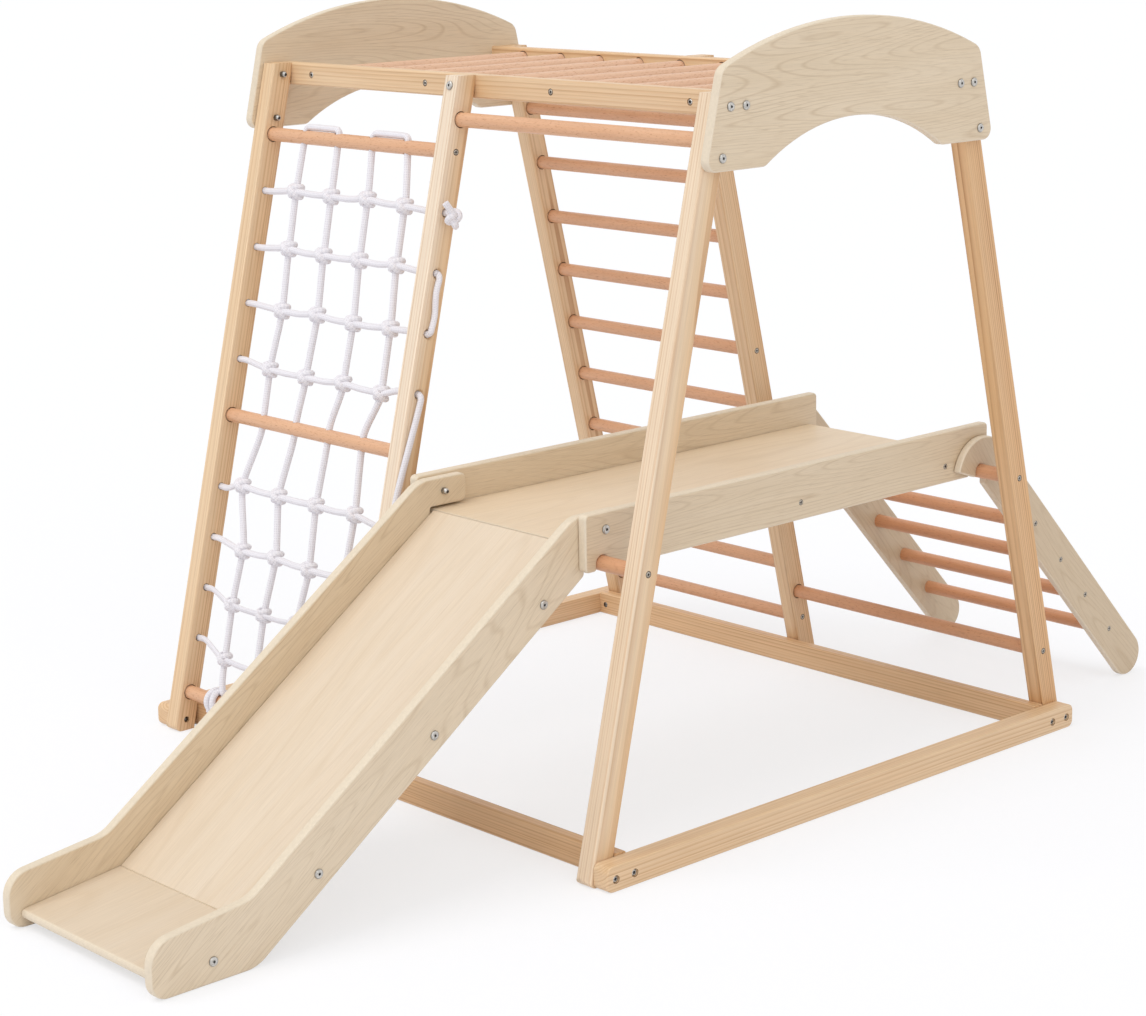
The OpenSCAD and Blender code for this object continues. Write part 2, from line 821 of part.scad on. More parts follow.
// the rope on the outer face of a leg from one row down to the next
function link(i, x, dir) =
    let (
        from = plane(x + dir * (rope_lift - bend), row_z[i], 0),
        to = plane(x + dir * (rope_lift - bend), row_z[i + 1], 0),
        crosses = dir > 0 && row_z[i] > carry_z && row_z[i + 1] < carry_z,
        away = -(rung_d / 2 + rope_lift + rope_r * half_share)
    )
    concat(
        quarter(from, dir * right_dir, -up_dir),
        [if (crosses)
            for (s = [1, 0, -1])
                ring(plane(x + dir * rope_lift, carry_z + s * rung_d, away), rope_r)],
        back_to_front(quarter(to, dir * right_dir, up_dir))
    );
// the ends of the cross rope: a knot that droops from its hole on the middle leg, and its tail
knot_dir = cos(knot_droop) * right_dir - sin(knot_droop) * up_dir;
function knot_mid(i) =
    plane(mid_right + rope_r, row_z[i], 0) + knot_d * knot_end_share * knot_dir;
function end_knot(i) = [
    for (k = back_to_front(knot_rings))
        ring(knot_mid(i) + k[0] * knot_dir, k[1])
];
function end_tail(i) = [
    for (k = [0, 1])
        ring(knot_mid(i) + k * rope_end_len * (front_dir + up_dir) / norm(front_dir + up_dir), rope_r)
];
cross_rope = concat(
    end_knot(0),
    [for (i = [0:2 * net_rows - 1])
        each concat(
            i % 2 == 0 ? back_to_front(row(i)) : row(i),
            i == 2 * net_rows - 1 ? back_to_front(end_knot(i))
                : i % 2 == 0 ? link(i, -half_w, -1)
                : link(i, mid_right, 1)
        )]
);

// frames carried along a path without twist
function unit(v) = v / norm(v);
function path_dir(path, i) =
    unit(path[min(i + 1, len(path) - 1)][0] - path[max(i - 1, 0)][0]);
function carried(path, side, i, list) =
    i == len(path) ? list
    : let (
        t = path_dir(path, i),
        u = unit(side - (side * t) * t)
    )
    carried(path, u, i + 1, concat(list, [u]));

module rope(path) {
    n = len(path);
    sides = carried(path, seed_dir, 0, []);
    points = [
        for (i = [0:n - 1])
            let (t = path_dir(path, i), u = sides[i], v = cross(t, u))
            for (k = [0:rope_sides - 1])
                path[i][0] + path[i][1] * (cos(360 * k / rope_sides) * u + sin(360 * k / rope_sides) * v)
    ];
    walls = [
        for (i = [0:n - 2], k = [0:rope_sides - 1])
            let (
                a = i * rope_sides + k,
                b = i * rope_sides + (k + 1) % rope_sides
            )
            each [[a, a + rope_sides, b], [b, a + rope_sides, b + rope_sides]]
    ];
    first = [for (k = [1:rope_sides - 2]) [0, k, k + 1]];
    last = [for (k = [1:rope_sides - 2])
        [(n - 1) * rope_sides, (n - 1) * rope_sides + k + 1, (n - 1) * rope_sides + k]];
    polyhedron(points = points, faces = concat(first, walls, last));
}

module net() {
    for (i = [0:2:net_columns - 2])
        rope(hanging_rope(i, i + 1));
    rope(cross_rope);
    for (i = [0, 2 * net_rows - 1])
        rope(end_tail(i));
}

// platform
module platform_side(sx) {
    y = platform_len / 2;
    low = platform_low;
    high = low + platform_h;
    r = platform_r;
    x = bay_mid + sx * platform_w / 2;
    difference() {
        upright(sx > 0 ? x : x - platform_t, platform_t)
            difference() {
                polygon(rounded([[-y, low, r], [y, low, r], [y, high, r], [-y, high, r]]));
                for (side = [-1, 1])
                    translate([side * carry_y, carry_z]) {
                        circle(notch_r);
                        translate([-notch_r, -platform_drop - overrun])
                            square([2 * notch_r, platform_drop + overrun]);
                    }
            }
        for (y = deck_screw_y)
            face_x(x + sx * platform_t, y, deck_low + deck_t / 2, sx)
                screw_hole();
        face_x(x + sx * platform_t, pivot_y, pivot_z, sx)
            bolt_hole(platform_t + overrun);
    }
}

module platform_deck() {
    w = platform_w - 2 * fit;
    difference() {
        translate([bay_mid - w / 2, -deck_len / 2, deck_low])
            cube([w, deck_len, deck_t]);
        for (sx = [-1, 1], y = deck_screw_y)
            face_x(bay_mid + sx * (platform_w / 2 + platform_t), y, deck_low + deck_t / 2, sx)
                screw_hole();
    }
}

// slide
slide_face = platform_w / 2 - run_gap;
module slide_side(sx) {
    up = slide_up / cos(slide_angle);
    down = slide_down / cos(slide_angle);
    tail_top = deck_top + tail_h;
    tail_low = deck_top + tail_gap;
    tail_y = pivot_y + tail_len;
    bend_y = bed_end + (tail_top - up - deck_top) / tan(slide_angle);
    heel_y = bed_end + (down - deck_top) / tan(slide_angle);
    back_y = bed_end - bed_gap;
    flat_up = slide_up / cos(runout_angle);
    knee_y = runout_y + (flat_up - up) / (tan(slide_angle) - tan(runout_angle));
    x = bay_mid + sx * slide_face;
    difference() {
        upright(sx > 0 ? x - slide_t : x, slide_t)
            polygon(rounded([
                [tail_y, tail_top, toe_r * tail_share],
                [bend_y, tail_top, bend_r],
                [knee_y, bed_z(knee_y) + up, bend_r],
                [toe_y, runout_top(toe_y) + flat_up, toe_r],
                [toe_y, 0, toe_r * toe_low_share],
                [heel_y, 0, bend_r],
                [back_y, bed_z(back_y) - down, toe_r * tail_share],
                [back_y, tail_low, 0],
                [tail_y, tail_low, toe_r * tail_share]
            ]));
        face_x(x, pivot_y, pivot_z, sx)
            translate([0, 0, -slide_t - overrun])
                cylinder(r = bolt_d / 2 + run_gap, h = slide_t + 2 * overrun);
        slide_bolt_holes(sx);
    }
}

slide_bolt_len = screw_len * long_share;
module slide_bolts_at(sx) {
    for (y = slide_bolt_y)
        face_x(bay_mid + sx * slide_face, y, bed_z(y) - bed_t / cos(slide_angle) / 2, sx)
            children();
    face_x(bay_mid + sx * slide_face, runout_bolt_y,
        runout_top(runout_bolt_y) - bed_t / cos(runout_angle) / 2, sx)
        children();
}

module slide_bolt_holes(sx) {
    slide_bolts_at(sx)
        bolt_hole(slide_bolt_len + fit);
}

// lower corner where bed and run-out meet
bed_under_y = runout_y + bed_t * (1 / cos(slide_angle) - 1 / cos(runout_angle))
    / (tan(slide_angle) - tan(runout_angle));
bed_under_z = bed_z(bed_under_y) - bed_t / cos(slide_angle);
module slide_bed() {
    w = slide_gap_w - 2 * fit;
    difference() {
        upright(bay_mid - w / 2, w)
            polygon([
                [bed_end, deck_top],
                [runout_y, runout_z],
                [bed_under_y, bed_under_z],
                [bed_end, deck_top - bed_t / cos(slide_angle)]
            ]);
        for (sx = [-1, 1])
            slide_bolt_holes(sx);
    }
}

module slide_runout() {
    w = slide_gap_w - 2 * fit;
    nose_y = toe_y + toe_r * half_share;
    nose_r = bed_t * nose_share;
    under = bed_t / cos(runout_angle);
    difference() {
        translate([0, -2 * fit, 0])
            upright(bay_mid - w / 2, w)
                polygon(rounded([
                    [runout_y, runout_z, 0],
                    [bed_under_y, bed_under_z, 0],
                    [nose_y, runout_top(nose_y) - under, nose_r],
                    [nose_y, runout_top(nose_y), nose_r]
                ]));
        for (sx = [-1, 1])
            slide_bolt_holes(sx);
    }
}

// step ladder, drawn from the middle of the carrying rung
module step_outline() {
    low_n = step_off - step_w / 2;
    lip = [-notch_r, -lip_drop];
    difference() {
        union() {
            translate(step_pos(hook_s, 0))
                circle(step_off + step_w / 2);
            rotate(-step_angle)
                translate([hook_s, low_n])
                    square([step_foot_s - hook_s, step_w]);
            translate(step_pos(step_foot_s, step_off))
                circle(step_w / 2);
        }
        circle(notch_r);
        translate([-notch_r, -step_w])
            square([2 * notch_r, step_w]);
        polygon([
            lip,
            lip + 2 * step_w * [-cos(lip_angle), sin(lip_angle)],
            step_pos(0, -2 * step_w),
            step_pos(2 * step_w, low_n),
            [notch_r, (low_n - notch_r * sin(step_angle)) / cos(step_angle)]
        ]);
    }
}

module step_side(sx) {
    x = bay_mid + sx * step_in_w / 2;
    difference() {
        translate([0, carry_y, carry_z])
            upright(sx > 0 ? x : x - step_t, step_t)
                step_outline();
        for (i = [1:step_count]) {
            step_rung_blank(i, fit);
            step_rung_screws_at(i, sx)
                screw_hole();
        }
    }
}

function step_at(i) = [0, carry_y, carry_z]
    + [0, step_pos(step_first + (i - 1) * step_pitch, step_off)[0],
        step_pos(step_first + (i - 1) * step_pitch, step_off)[1]];

module step_rung_blank(i, grow) {
    len = step_in_w + 2 * step_socket - 2 * fit + 2 * grow;
    translate(step_at(i) + [bay_mid - len / 2, 0, 0])
        rotate([0, 90, 0])
            cylinder(d = rung_d + 2 * grow, h = len);
}

module step_rung_screws_at(i, sx) {
    face_x(bay_mid + sx * (step_in_w / 2 + step_t), step_at(i)[1], step_at(i)[2], sx)
        children();
}

module step_rungs() {
    for (i = [1:step_count])
        difference() {
            step_rung_blank(i, 0);
            for (sx = [-1, 1])
                step_rung_screws_at(i, sx)
                    screw_hole();
        }
}

// fasteners
rail_bolt_len = screw_len * long_share;
module frame_bolts() {
    for (sx = [-1, 1]) {
        for (p = arch_bolt_list)
            face_x(sx * panel_x, p[0], p[1], sx)
                bolt(
                    arch_t + (abs(p[0]) == rail_mid_y ? rail_bolt_len - fit : leg_t + cap_d * half_share),
                    head_d
                );
        for (sy = [-1, 1]) {
            face_x(sx * (side_rail_x - bore_depth), sy * leg_mid(ground_bolt_z), ground_bolt_z, sx)
                bolt(side_rail_t + leg_t * sleeve_shares[0] - bore_depth, sunk_head_d);
            face_x(sx * (side_rail_x - bore_depth), sy * cross_mid_y, ground_bolt_z, sx)
                bolt(side_rail_t + barrel_inset + barrel_d - bore_depth, sunk_head_d);
        }
    }
    for (side = [-1, 1]) {
        for (z = middle_bolt_z)
            face_leg(side, mid_x, z)
                bolt(middle_bolt_len, head_d);
        for (i = bolted_bars)
            face_y(bar_x(i), side * rail_out_y, rail_mid_z, side)
                translate([0, 0, -head_h])
                    bolt(screw_len - head_h - fit, barrel_d);
    }
}

module frame_nuts() {
    for (sx = [-1, 1], sy = [-1, 1]) {
        for (z = [rail_mid_z, arch_bolt_z])
            face_x(sx * inner_x, sy * leg_mid(z), z, -sx)
                cap_nut();
        face_x(sx * inner_x, sy * leg_mid(ground_bolt_z), ground_bolt_z, -sx)
            difference() {
                translate([0, 0, fit - leg_t * half_share])
                    cylinder(d = barrel_d, h = leg_t * half_share - head_h - fit);
                translate([0, 0, -leg_t])
                    cylinder(d = bolt_d * thread_share, h = leg_t * sleeve_shares[1]);
            }
        difference() {
            face_y(sx * (half_w - barrel_inset), sy * (cross_out_y - cross_rail_t), ground_bolt_z, -sy)
                translate([0, 0, fit - cross_rail_t * barrel_share])
                    cylinder(d = barrel_d, h = cross_rail_t * barrel_share - 2 * fit);
            face_x(sx * half_w, sy * cross_mid_y, ground_bolt_z, sx)
                bolt_hole(barrel_inset + 2 * barrel_d);
        }
    }
}

module rung_screws() {
    for (s = rung_screw_list)
        face_x(s[1], s[0] * leg_mid(s[3]), s[3], -s[2])
            screw();
    for (side = [-1, 1], i = screwed_bars)
        face_y(bar_x(i), side * rail_out_y, rail_mid_z, side)
            screw();
}

module platform_screws() {
    for (sx = [-1, 1], y = deck_screw_y)
        face_x(bay_mid + sx * (platform_w / 2 + platform_t), y, deck_low + deck_t / 2, sx)
            screw();
}

module pivot_bolts() {
    len = platform_t + slide_t + 2 * run_gap + cap_d * half_share;
    for (sx = [-1, 1]) {
        face_x(bay_mid + sx * (platform_w / 2 + platform_t), pivot_y, pivot_z, sx)
            bolt(len, head_d);
        face_x(bay_mid + sx * (slide_face - slide_t - run_gap), pivot_y, pivot_z, -sx)
            cap_nut();
    }
}

module slide_bolts() {
    for (sx = [-1, 1])
        slide_bolts_at(sx)
            bolt(slide_bolt_len, head_d);
}

module step_ladder_screws() {
    for (sx = [-1, 1], i = [1:step_count])
        step_rung_screws_at(i, sx)
            screw();
}

module place(c) {
    color(c)
        translate([0, shift_y, 0])
            children();
}

place(pine) side_rail(-1);  // left_ground_rail
place(pine) side_rail(1);  // right_ground_rail
place(pine) cross_rail(-1);  // front_ground_rail
place(pine) cross_rail(1);  // back_ground_rail
place(pine) corner_leg(-1, -1) net_leg_holes(-inner_x - leg_t / 2, true, false);  // front_left_leg
place(pine) middle_leg(-1) net_leg_holes(mid_x, false, true);  // front_middle_leg
place(pine) corner_leg(-1, 1);  // front_right_leg
place(pine) corner_leg(1, -1);  // back_left_leg
place(pine) middle_leg(1);  // back_middle_leg
place(pine) corner_leg(1, 1);  // back_right_leg
place(pine) top_rail(-1);  // front_top_rail
place(pine) top_rail(1);  // back_top_rail
place(ply) arch_panel(-1);  // left_arch_panel
place(ply) arch_panel(1);  // right_arch_panel
for (i = [1:bar_count])
    place(beech) monkey_bar(i);
for (i = [1:ladder_count])
    place(beech) rung(ladder_at(i));
place(beech) net_rung(0, true);  // net_top_rung
place(beech) net_rung(1, false);  // net_middle_rung
place(beech) net_rung(2, false);  // net_bottom_rung
place(white_rope) net();  // climbing_net
place(beech) rung(front_top_at);  // front_top_rung
place(beech) rung(front_carry_at);  // front_carrying_rung
place(beech) rung(back_carry_at);  // back_carrying_rung
place(beech) rung(back_low_at);  // back_low_rung
place(ply) platform_side(-1);  // platform_left_side
place(ply) platform_side(1);  // platform_right_side
place(ply) platform_deck();
place(ply) slide_side(-1);  // slide_left_side
place(ply) slide_side(1);  // slide_right_side
place(ply) slide_bed();
place(ply) slide_runout();
place(ply) step_side(-1);  // step_ladder_left_side
place(ply) step_side(1);  // step_ladder_right_side
place(beech) step_rungs();  // step_ladder_rungs
place(steel) frame_bolts();
place(steel) frame_nuts();
place(dark_steel) rung_screws();
place(dark_steel) platform_screws();
place(steel) pivot_bolts();
place(steel) slide_bolts();
place(dark_steel) step_ladder_screws();
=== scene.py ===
import json
import math

import bmesh
import bpy
import numpy as np
from mathutils import Matrix, Vector
from mathutils.geometry import tessellate_polygon


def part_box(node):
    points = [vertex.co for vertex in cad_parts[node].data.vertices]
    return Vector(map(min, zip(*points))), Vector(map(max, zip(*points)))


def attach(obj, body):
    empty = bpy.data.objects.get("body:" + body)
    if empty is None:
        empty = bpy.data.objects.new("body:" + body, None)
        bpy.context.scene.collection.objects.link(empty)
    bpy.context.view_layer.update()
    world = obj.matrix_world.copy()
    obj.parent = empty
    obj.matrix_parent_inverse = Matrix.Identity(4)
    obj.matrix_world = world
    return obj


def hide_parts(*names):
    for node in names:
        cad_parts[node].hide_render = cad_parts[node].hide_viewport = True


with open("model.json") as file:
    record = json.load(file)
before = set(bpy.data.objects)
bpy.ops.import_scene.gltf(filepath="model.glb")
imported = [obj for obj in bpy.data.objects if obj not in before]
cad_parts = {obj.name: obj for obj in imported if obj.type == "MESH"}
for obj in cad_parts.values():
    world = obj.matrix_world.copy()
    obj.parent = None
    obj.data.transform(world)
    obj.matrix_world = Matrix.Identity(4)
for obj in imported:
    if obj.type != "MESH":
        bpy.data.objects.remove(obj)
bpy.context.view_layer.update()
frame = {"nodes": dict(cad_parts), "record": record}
nodes = frame["nodes"]
scene = bpy.context.scene
scene.view_settings.view_transform = "Standard"
bodyOf = {n: b for b, members in frame["record"]["behaviour"]["bodies"].items() for n in members}
slotOf = {p["node"]: p["material_slot"] for p in frame["record"]["subparts"]}
alongX, alongY, alongZ = Vector((1, 0, 0)), Vector((0, 1, 0)), Vector((0, 0, 1))
weld = 2e-6  # vertices closer than this are one, in metres
print("frame loaded,", len(nodes), "nodes")

# camera at the photograph's angle, fitted to the legs, rails and bolts
camera = {
    "place": (3.43328, -3.07264, 1.53577), "azimuth": 47.293, "elevation": 12.175, "roll": -0.934,
    "lens": 84.72, "sensor": 36, "shift": -0.05, "farEnd": 200,
}


def outwards(turn, rise):  # the direction from the part to a camera or lamp
    a, e = math.radians(turn), math.radians(rise)
    return Vector((math.sin(a) * math.cos(e), -math.cos(a) * math.cos(e), math.sin(e)))


def setCamera(look):
    turn, roll = math.radians(look["azimuth"]), math.radians(look["roll"])
    back = outwards(look["azimuth"], look["elevation"])
    level = Vector((math.cos(turn), math.sin(turn), 0))
    right = math.cos(roll) * level + math.sin(roll) * back.cross(level)
    up = back.cross(right)
    data = bpy.data.cameras.new("studioCamera")
    data.sensor_width = look["sensor"]
    data.lens = look["lens"]
    data.shift_y = look["shift"]
    data.clip_end = look["farEnd"]
    holder = bpy.data.objects.new("studioCamera", data)
    scene.collection.objects.link(holder)
    turned = Matrix((right, up, back)).transposed()
    holder.matrix_world = Matrix.Translation(look["place"]) @ turned.to_4x4()
    scene.camera = holder


setCamera(camera)
print("camera set")


# small helpers for the materials
fibreRough = 0.6


def tint(red, green, blue):  # a colour as seen on screen, 0 to 255
    shares = [c / 255 for c in (red, green, blue)]
    return (*[c / 12.92 if c <= 0.04045 else ((c + 0.055) / 1.055) ** 2.4 for c in shares], 1)


def grey(value):
    return (value, value, value, 1)


def put(tree, kind, inputs=None, **options):
    made = tree.nodes.new(kind)
    for key, value in options.items():
        setattr(made, key, value)
    for key, value in (inputs or {}).items():
        if isinstance(value, bpy.types.NodeSocket):
            tree.links.new(value, made.inputs[key])
        else:
            made.inputs[key].default_value = value
    return made


def sums(tree, operation, a, b=0.0):
    return put(tree, "ShaderNodeMath", {0: a, 1: b}, operation=operation).outputs[0]


def scaled(tree, vector, by):
    return put(tree, "ShaderNodeVectorMath", {0: vector, 1: by}, operation="MULTIPLY").outputs[0]


def mapped(tree, source, target, given=(0.0, 1.0)):
    ends = {1: given[0], 2: given[1], 3: target[0], 4: target[1]}
    return put(tree, "ShaderNodeMapRange", {0: source, **ends}).outputs[0]


def ramp(tree, source, stops):  # stops are places with their greys
    made = put(tree, "ShaderNodeValToRGB", {0: source})
    dots = made.color_ramp.elements
    while len(dots) < len(stops):
        dots.new(0.5)
    for dot, (place, value) in zip(dots, stops):
        dot.position = place
        dot.color = grey(value)
    return made.outputs[0]


def blendColours(tree, share, a, b, mode="MIX"):
    made = put(tree, "ShaderNodeMix", {0: share, 6: a, 7: b}, data_type="RGBA", blend_type=mode)
    return made.outputs[2]


def darkened(tree, colour, source, stops):
    return blendColours(tree, 1, colour, ramp(tree, source, stops), "MULTIPLY")


def stored(tree, name, output):
    return put(tree, "ShaderNodeAttribute", attribute_name=name).outputs[output]


def noise(tree, vector, scale, detail):
    return put(tree, "ShaderNodeTexNoise", {"Vector": vector, "Scale": scale, "Detail": detail}).outputs[0]


def fibres(tree, grain, fibre):  # noise with its own scale along and across the grain
    along, across, detail = fibre
    return put(tree, "ShaderNodeTexNoise", {
        "Vector": scaled(tree, grain, (along, across, across)),
        "Scale": 1, "Detail": detail, "Roughness": fibreRough,
    }).outputs[0]


def startFinish(name):
    made = bpy.data.materials.new(name)
    made.use_nodes = True
    return made, made.node_tree, made.node_tree.nodes["Principled BSDF"]


def closeFinish(tree, shader, colour, roughness, height, look):
    reach, strength = look["bump"]
    bump = put(tree, "ShaderNodeBump", {"Height": height, "Distance": reach, "Strength": strength})
    tree.links.new(colour, shader.inputs["Base Color"])
    tree.links.new(roughness, shader.inputs["Roughness"])
    tree.links.new(bump.outputs[0], shader.inputs["Normal"])
    for name, value in look.get("shader", {}).items():
        shader.inputs[name].default_value = value


# the tone attribute also carries painted light, which makes a leg's front paler than its back
def toned(tree, colour, look):  # paler sapwood below zero, warmer heartwood above
    tone = stored(tree, "tone", "Fac")
    below = sums(tree, "MAXIMUM", sums(tree, "MULTIPLY", tone, -1.0), 0.0)
    above = sums(tree, "MAXIMUM", tone, 0.0)
    return blendColours(tree, above, blendColours(tree, below, colour, look["sap"]), look["heart"])


# solid softwood: growth rings about a pith beside the bar, fibres and a satin lacquer
pineLook = {
    "pale": tint(241, 216, 182), "warm": tint(229, 191, 145),
    "line": tint(198, 149, 99), "darkLine": tint(164, 102, 52),
    "sap": tint(247, 231, 210), "heart": tint(224, 170, 108),
    "ringGap": 0.0049, "ring": [(0, 0), (0.4, 0.08), (0.8, 0.7), (0.9, 0.9), (1, 0)],
    "drift": 0.012, "driftFibre": (0.9, 9, 1), "uneven": 1.6, "unevenScale": 75.0,
    "lines": 0.85, "vigour": (0.25, 1.0),
    "patch": (0.45, 1.0), "patchReach": (0.3, 0.7), "patchFibre": (3, 30, 1),
    "groundFibre": (2.2, 26, 2), "streakFibre": (9, 520, 3), "streak": [(0.25, 0.86), (0.7, 1.0)],
    "rough": (0.52, 0.4), "ringHeight": 0.35, "bump": (0.0004, 0.35),
    "shader": {"Coat Weight": 0.12, "Coat Roughness": 0.34},
}


def pineFinish(look):
    made, tree, shader = startFinish("pineLacquered")
    grain = stored(tree, "grain", "Vector")
    spot = put(tree, "ShaderNodeSeparateXYZ", {0: grain}).outputs
    flat = put(tree, "ShaderNodeCombineXYZ", {1: spot[1], 2: spot[2]}).outputs[0]
    radius = put(tree, "ShaderNodeVectorMath", {0: flat}, operation="LENGTH").outputs["Value"]
    drift = sums(tree, "MULTIPLY", fibres(tree, grain, look["driftFibre"]), look["drift"])
    drifted = sums(tree, "ADD", radius, drift)
    spacing = put(tree, "ShaderNodeTexNoise", {
        "W": sums(tree, "MULTIPLY", drifted, look["unevenScale"]), "Scale": 1, "Detail": 1,
    }, noise_dimensions="1D").outputs[0]
    evenYears = sums(tree, "DIVIDE", drifted, look["ringGap"])
    years = sums(tree, "ADD", evenYears, sums(tree, "MULTIPLY", spacing, look["uneven"]))
    vigour = put(tree, "ShaderNodeTexWhiteNoise", {
        "W": sums(tree, "FLOOR", years),
    }, noise_dimensions="1D").outputs["Value"]
    ground = blendColours(tree, fibres(tree, grain, look["groundFibre"]), look["pale"], look["warm"])
    early = toned(tree, ground, look)
    late = ramp(tree, sums(tree, "FRACT", years), look["ring"])
    patchy = mapped(tree, fibres(tree, grain, look["patchFibre"]), look["patch"], look["patchReach"])
    vivid = sums(tree, "MULTIPLY", patchy, mapped(tree, vigour, look["vigour"]))
    warmth = sums(tree, "MAXIMUM", stored(tree, "tone", "Fac"), 0.0)
    boldness = sums(tree, "ADD", warmth, look["lines"])
    share = sums(tree, "MULTIPLY", sums(tree, "MULTIPLY", late, vivid), boldness)
    inked = blendColours(tree, warmth, look["line"], look["darkLine"])
    streak = fibres(tree, grain, look["streakFibre"])
    colour = darkened(tree, blendColours(tree, share, early, inked), streak, look["streak"])
    height = sums(tree, "ADD", sums(tree, "MULTIPLY", late, look["ringHeight"]), streak)
    closeFinish(tree, shader, colour, mapped(tree, streak, look["rough"]), height, look)
    return made


# turned beech: even pinkish ground with short dark flecks
beechLook = {
    "pale": tint(232, 186, 148), "warm": tint(217, 162, 121), "fleck": tint(178, 116, 76),
    "sap": tint(237, 210, 188), "heart": tint(205, 140, 96),
    "groundFibre": (5, 60, 3), "fleckFibre": (110, 900, 1), "flecks": [(0.6, 0), (0.72, 0.75)],
    "streakFibre": (7, 420, 3), "streak": [(0.28, 0.9), (0.68, 1.0)],
    "rough": (0.5, 0.38), "bump": (0.0003, 0.3),
    "shader": {"Coat Weight": 0.14, "Coat Roughness": 0.32},
}


def beechFinish(look):
    made, tree, shader = startFinish("beechLacquered")
    grain = stored(tree, "grain", "Vector")
    ground = blendColours(tree, fibres(tree, grain, look["groundFibre"]), look["pale"], look["warm"])
    spots = ramp(tree, fibres(tree, grain, look["fleckFibre"]), look["flecks"])
    flecked = blendColours(tree, spots, toned(tree, ground, look), look["fleck"])
    streak = fibres(tree, grain, look["streakFibre"])
    colour = darkened(tree, flecked, streak, look["streak"])
    closeFinish(tree, shader, colour, mapped(tree, streak, look["rough"]), streak, look)
    return made


# veneered panels: contour lines of a stretched field, drawn out along the sheet, and short pores
panelLook = {
    "pale": tint(233, 215, 188), "warm": tint(219, 197, 165),
    "line": tint(186, 158, 122), "pore": tint(176, 148, 113),
    "sap": tint(243, 228, 206), "heart": tint(190, 166, 134),
    "fieldFibre": (1.5, 14.0, 0.3), "bands": 27.0, "depth": 0.5,
    "band": [(0, 0.05), (0.68, 0), (0.85, 0.9), (0.93, 0.5), (1, 0.05)],
    "fade": (0.3, 1.0), "fadeReach": (0.3, 0.7), "fadeFibre": (1.5, 9, 1),
    "groundFibre": (3, 30, 3), "poreFibre": (28, 700, 1), "pores": [(0.58, 0), (0.72, 0.28)],
    "streakFibre": (14, 640, 3), "streak": [(0.26, 0.9), (0.68, 1.0)],
    "rough": (0.54, 0.42), "lineHeight": 0.3, "bump": (0.0003, 0.3),
    "shader": {"Coat Weight": 0.1, "Coat Roughness": 0.36},
}
# the boards of the slide and the deck have a quieter veneer
bedLook = dict(
    panelLook, pale=tint(231, 215, 194), warm=tint(223, 202, 174), line=tint(207, 181, 148),
    pore=tint(205, 180, 148), heart=tint(198, 174, 142), fieldFibre=(1.1, 9.0, 0.3), bands=8.0, depth=0.3,
    pores=[(0.58, 0), (0.72, 0.2)], shader={"Coat Weight": 0.12, "Coat Roughness": 0.36})
deckLook = dict(bedLook, pale=tint(237, 217, 190), warm=tint(228, 205, 172))


def veneerFinish(name, look):
    made, tree, shader = startFinish(name)
    grain = stored(tree, "grain", "Vector")
    field = fibres(tree, grain, look["fieldFibre"])
    lines = ramp(tree, sums(tree, "FRACT", sums(tree, "MULTIPLY", field, look["bands"])), look["band"])
    fading = mapped(tree, fibres(tree, grain, look["fadeFibre"]), look["fade"], look["fadeReach"])
    share = sums(tree, "MULTIPLY", sums(tree, "MULTIPLY", lines, fading), look["depth"])
    ground = blendColours(tree, fibres(tree, grain, look["groundFibre"]), look["pale"], look["warm"])
    lined = blendColours(tree, share, toned(tree, ground, look), look["line"])
    pores = ramp(tree, fibres(tree, grain, look["poreFibre"]), look["pores"])
    pored = blendColours(tree, pores, lined, look["pore"])
    streak = fibres(tree, grain, look["streakFibre"])
    colour = darkened(tree, pored, streak, look["streak"])
    height = sums(tree, "ADD", sums(tree, "MULTIPLY", lines, look["lineHeight"]), streak)
    closeFinish(tree, shader, colour, mapped(tree, streak, look["rough"]), height, look)
    return made


# sanded panel edges with faint plies across the thickness, and a painted shade for the shadow gap round the rims of
# the sockets and bores
edgeLook = {
    "pale": tint(231, 217, 195), "ply": tint(214, 194, 164), "plyGap": 0.0015, "plyShare": 0.4,
    "stretch": (0.05, 0.05, 1), "wavePhase": 20, "wave": {"Distortion": 1.2, "Detail": 1, "Detail Scale": 0.4},
    "grainFibre": (160, 160, 2), "grains": [(0.3, 0.93), (0.7, 1.0)],
    "rough": (0.62, 0.5), "bump": (0.0003, 0.25),
}
paintedRimLook = dict(edgeLook, pale=tint(104, 72, 46), ply=tint(82, 56, 36))


def edgeFinish(name, look):
    made, tree, shader = startFinish(name)
    grain = stored(tree, "grain", "Vector")
    plies = put(tree, "ShaderNodeTexWave", {
        "Vector": scaled(tree, grain, look["stretch"]),
        "Scale": math.tau / look["wavePhase"] / look["plyGap"], **look["wave"],
    }, wave_type="BANDS", bands_direction="Z").outputs[1]
    grains = fibres(tree, grain, look["grainFibre"])
    ground = blendColours(tree, sums(tree, "MULTIPLY", plies, look["plyShare"]), look["pale"], look["ply"])
    colour = darkened(tree, ground, grains, look["grains"])
    closeFinish(tree, shader, colour, mapped(tree, grains, look["rough"]), grains, look)
    return made


# braided white rope: two crossing sets of strands round the cord, with painted shade in the grooves between the
# strands
ropeLook = {
    "strand": tint(238, 235, 239), "gap": tint(222, 219, 225), "braid": 0.0085, "strands": 5,
    "paintedGrooveShade": [(0.1, 1), (0.6, 0)], "fuzz": (900, 3), "fuzzShade": [(0.3, 0.94), (0.65, 1.0)], "fuzzHeight": 0.3,
    "rough": (0.95, 0.78), "bump": (0.0007, 0.45),
    "shader": {"Sheen Weight": 0.25, "Sheen Roughness": 0.5},
}


